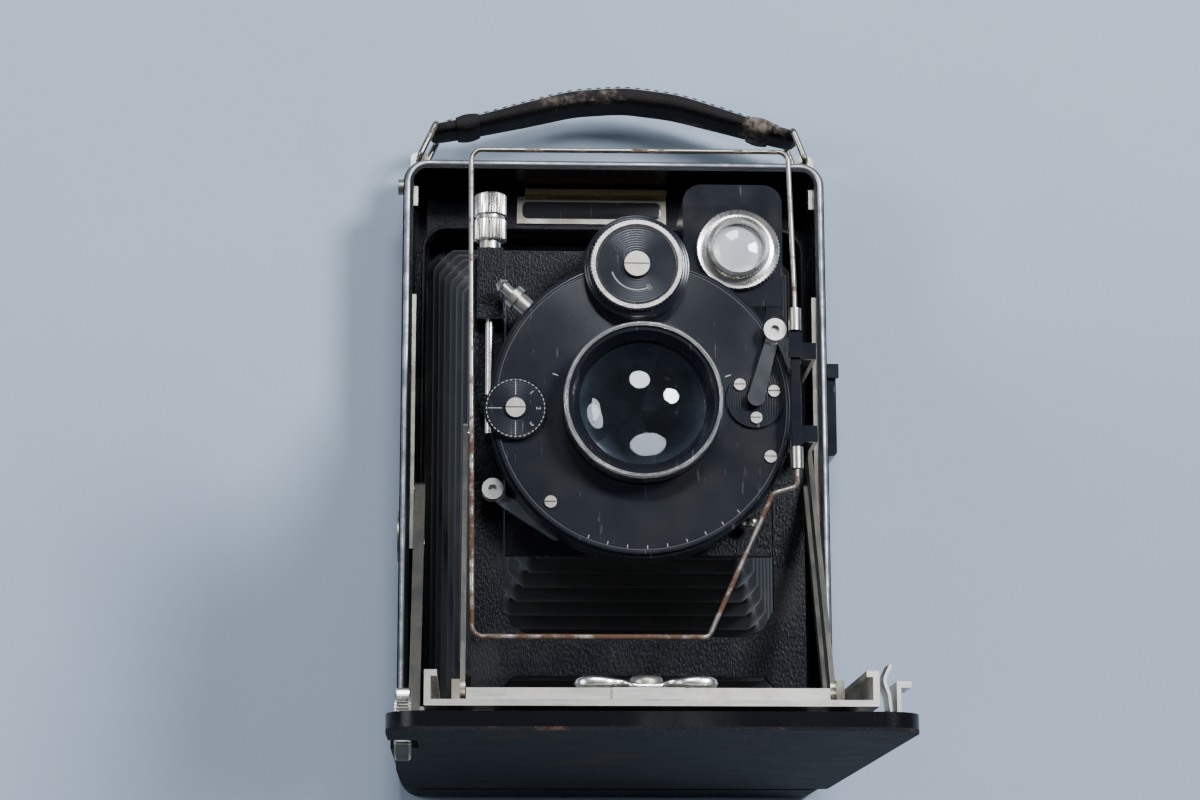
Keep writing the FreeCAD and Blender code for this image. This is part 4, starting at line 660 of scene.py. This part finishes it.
class CAMERA_OT_strap(bpy.types.Operator):
    """Carrying strap with folded ends and stitches"""

    bl_idname = "folding_camera.strap"
    bl_label = "Strap"

    def execute(self, context):
        size = sizes()
        knots = np.array([[-46.6, 88.6], [-36, 90.6], [-24, 93.6], [-10, 97.2], [3, 98.2], [16, 96.6], [28, 93.2],
                          [38, 90.2], [47.6, 87.8]])
        gap = np.concatenate([[0], np.cumsum(np.hypot(*np.diff(knots, axis=0).T))])
        way = np.linspace(0, gap[-1], 121)
        smooth = np.stack([np.interp(way, gap, knots[:, k]) for k in (0, 1)], axis=-1)
        kernel = np.hanning(17) / np.hanning(17).sum()
        padded = np.concatenate([2 * smooth[:1] - smooth[8:0:-1], smooth, 2 * smooth[-1:] - smooth[-2:-10:-1]])
        line = np.stack([np.convolve(padded[:, k], kernel, "valid") for k in (0, 1)], axis=-1)
        ahead = np.gradient(line, axis=0)
        ahead /= np.linalg.norm(ahead, axis=1)[:, None]
        side = np.stack([-ahead[:, 1], ahead[:, 0]], axis=-1)
        t = np.linspace(-1, 1, len(line))
        end = np.sqrt(np.clip(1 - np.abs(t) ** 40, 0, 1))
        thick = (1.55 + 0.65 * np.exp(-(t / 0.62) ** 4)) * end + 0.02
        half = size.strap_width / 2 * (0.86 + 0.14 * np.exp(-(t / 0.7) ** 4)) * (0.6 + 0.4 * end)
        turn = np.linspace(0, 2 * np.pi, 41)[:-1]
        ca, sa = np.cos(turn), np.sin(turn)
        across = np.sign(ca) * np.abs(ca) ** 0.45
        height = np.sign(sa) * np.abs(sa) ** 0.8
        channel = 1 - 0.12 * np.exp(-((np.abs(across) - 0.8) / 0.05) ** 2)
        points = np.empty((len(turn), len(line), 3))
        offset = (height * channel)[:, None] * thick[None]
        points[:, :, :2] = line[None] + offset[..., None] * side[None]
        points[:, :, 2] = 15 + across[:, None] * half[None]
        hide = shared("strap hide", leather, tuple(size.strap), (0.2, 0.16, 0.125), grain=1100, wear=0.57)
        piece = surface("strap_hide", points, "camera_body", hide, sharp=70)
        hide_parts("strap")
        for side_name, start in (("left", 9), ("right", len(line) - 17)):
            span = slice(start, start + 8)
            wide = half[span].mean() + 0.45
            loop = []
            for k, swell in zip(range(start, start + 8), np.sin(np.linspace(0, np.pi, 8)) * 0.5 + 0.35):
                offset = height * (thick[k] + swell)
                xy = line[k][None] + offset[:, None] * side[k][None]
                loop.append(np.concatenate([xy, (15 + across * (wide + swell * 0.3))[:, None]], axis=1))
            inner = [np.concatenate([line[k][None] + (height * (thick[k] - 0.3))[:, None] * side[k][None],
                                     (15 + across * (half[k] - 0.3))[:, None]], axis=1)
                     for k in (start + 7, start)]
            surface(f"strap_keeper_{side_name}", np.stack(loop + inner, axis=1), "camera_body", hide, closed=True,
                    sharp=60)
        self.stitch(line, side, thick, half)
        return {"FINISHED"}

    def stitch(self, line, side, thick, half):
        """Short threads near both edges: each an eight-sided spindle along the strap."""
        thread = shared("strap thread", plain, (0.05, 0.04, 0.032), 0.8)
        index = np.arange(6, len(line) - 7, 3)
        parts, faces, start = [], [], 0
        turn = np.linspace(0, 2 * np.pi, 7)[:-1]
        for edge in (-0.8, 0.8):
            for k in index:
                a, b = line[k] + side[k] * thick[k] * 0.93, line[k + 2] + side[k + 2] * thick[k + 2] * 0.93
                z = 15 + edge * half[k]
                for step, radius in ((0.0, 0.05), (0.5, 0.2), (1.0, 0.05)):
                    middle = a + (b - a) * step
                    ring = np.stack([middle[0] + side[k][0] * np.sin(turn) * radius,
                                     middle[1] + side[k][1] * np.sin(turn) * radius, z + np.cos(turn) * radius], axis=-1)
                    parts.append(ring)
                for row in range(2):
                    for c in range(6):
                        d = (c + 1) % 6
                        faces.append([start + row * 6 + c, start + row * 6 + d, start + (row + 1) * 6 + d,
                                      start + (row + 1) * 6 + c])
                faces.append([start + c for c in range(6)][::-1])
                faces.append([start + 12 + c for c in range(6)])
                start += 18
        mesh = bpy.data.meshes.new("strap_stitches")
        mesh.from_pydata((np.concatenate(parts) * MM).tolist(), [], faces)
        work = bmesh.new()
        work.from_mesh(mesh)
        bmesh.ops.recalc_face_normals(work, faces=work.faces)
        work.to_mesh(mesh)
        work.free()
        mesh.materials.append(thread)
        piece = bpy.data.objects.new("strap_stitches", mesh)
        bpy.context.scene.collection.objects.link(piece)
        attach(piece, "camera_body")


class CAMERA_OT_stage(bpy.types.Operator):
    """Pale floor, soft lights and the viewing camera"""

    bl_idname = "folding_camera.stage"
    bl_label = "Stage"

    def execute(self, context):
        scene = context.scene
        mesh = bpy.data.meshes.new("floor")
        reach = 3.0
        mesh.from_pydata([(-reach, -reach, 0), (reach, -reach, 0), (reach, reach, 0), (-reach, reach, 0)], [],
                         [(0, 1, 2, 3)])
        mesh.materials.append(shared("floor paper", plain, tuple(sizes().floor), 0.8, 0.0, 6))
        floor = bpy.data.objects.new("floor", mesh)
        scene.collection.objects.link(floor)
        for name, place, size, power in (("key", (0.6, 0.35, 1.1), 0.3, 17), ("fill", (-0.95, 0.1, 0.9), 0.5, 6),
                                         ("rim", (0.0, 0.68, 1.15), 0.4, 10)):
            lamp = bpy.data.lights.new(name, "AREA")
            lamp.size = size
            lamp.energy = power
            lamp.shape = "DISK"
            lamp.color = (0.86, 0.92, 1.0)
            holder = bpy.data.objects.new(name, lamp)
            toward = Vector((0, 0, 0.08)) - Vector(place)
            holder.matrix_world = Matrix.Translation(place) @ toward.to_track_quat("-Z", "Y").to_matrix().to_4x4()
            scene.collection.objects.link(holder)
        world = bpy.data.worlds.new("room")
        world.use_nodes = True
        world.node_tree.nodes["Background"].inputs[0].default_value = (0.6, 0.72, 0.9, 1)
        world.node_tree.nodes["Background"].inputs[1].default_value = 0.11
        scene.world = world
        lens = bpy.data.cameras.new("view")
        lens.lens = 84.24
        lens.sensor_width = 36
        lens.clip_start = 0.01
        eye = bpy.data.objects.new("view", lens)
        right, up, ahead = (0.99908, -0.00164, 0.04296), (-0.00735, 0.97808, 0.20812), (0.04236, 0.20824, -0.97716)
        turn = Matrix((right, up, tuple(-c for c in ahead))).transposed().to_4x4()
        eye.matrix_world = Matrix.Translation((-0.03284, -0.12655, 0.7021)) @ turn
        scene.collection.objects.link(eye)
        scene.camera = eye
        return {"FINISHED"}


OPERATORS = (CAMERA_OT_finishes, CAMERA_OT_bellows, CAMERA_OT_body_trim, CAMERA_OT_knurled, CAMERA_OT_lens_detail,
             CAMERA_OT_wings, CAMERA_OT_strap, CAMERA_OT_stage)


class CAMERA_PT_sidebar(bpy.types.Panel):
    """Lists the camera's pieces"""

    bl_idname = "CAMERA_PT_sidebar"
    bl_label = "Folding plate camera"
    bl_space_type = "VIEW_3D"
    bl_region_type = "UI"
    bl_category = "Camera"

    def draw(self, context):
        group = context.scene.folding_camera
        for name in CameraSizes.__annotations__:
            self.layout.prop(group, name)
        for operator in OPERATORS:
            self.layout.operator(operator.bl_idname)


def register():
    """Makes the classes known to Blender."""
    for kind in (CameraSizes, *OPERATORS, CAMERA_PT_sidebar):
        bpy.utils.register_class(kind)
    bpy.types.Scene.folding_camera = bpy.props.PointerProperty(type=CameraSizes)


def unregister():
    """Takes them away again."""
    del bpy.types.Scene.folding_camera
    for kind in (CAMERA_PT_sidebar, *reversed(OPERATORS), CameraSizes):
        bpy.utils.unregister_class(kind)


def main():
    """Makes every piece in order."""
    register()
    for operator in OPERATORS:
        family, name = operator.bl_idname.split(".")
        getattr(getattr(bpy.ops, family), name)()


if __name__ == "__main__":
    main()
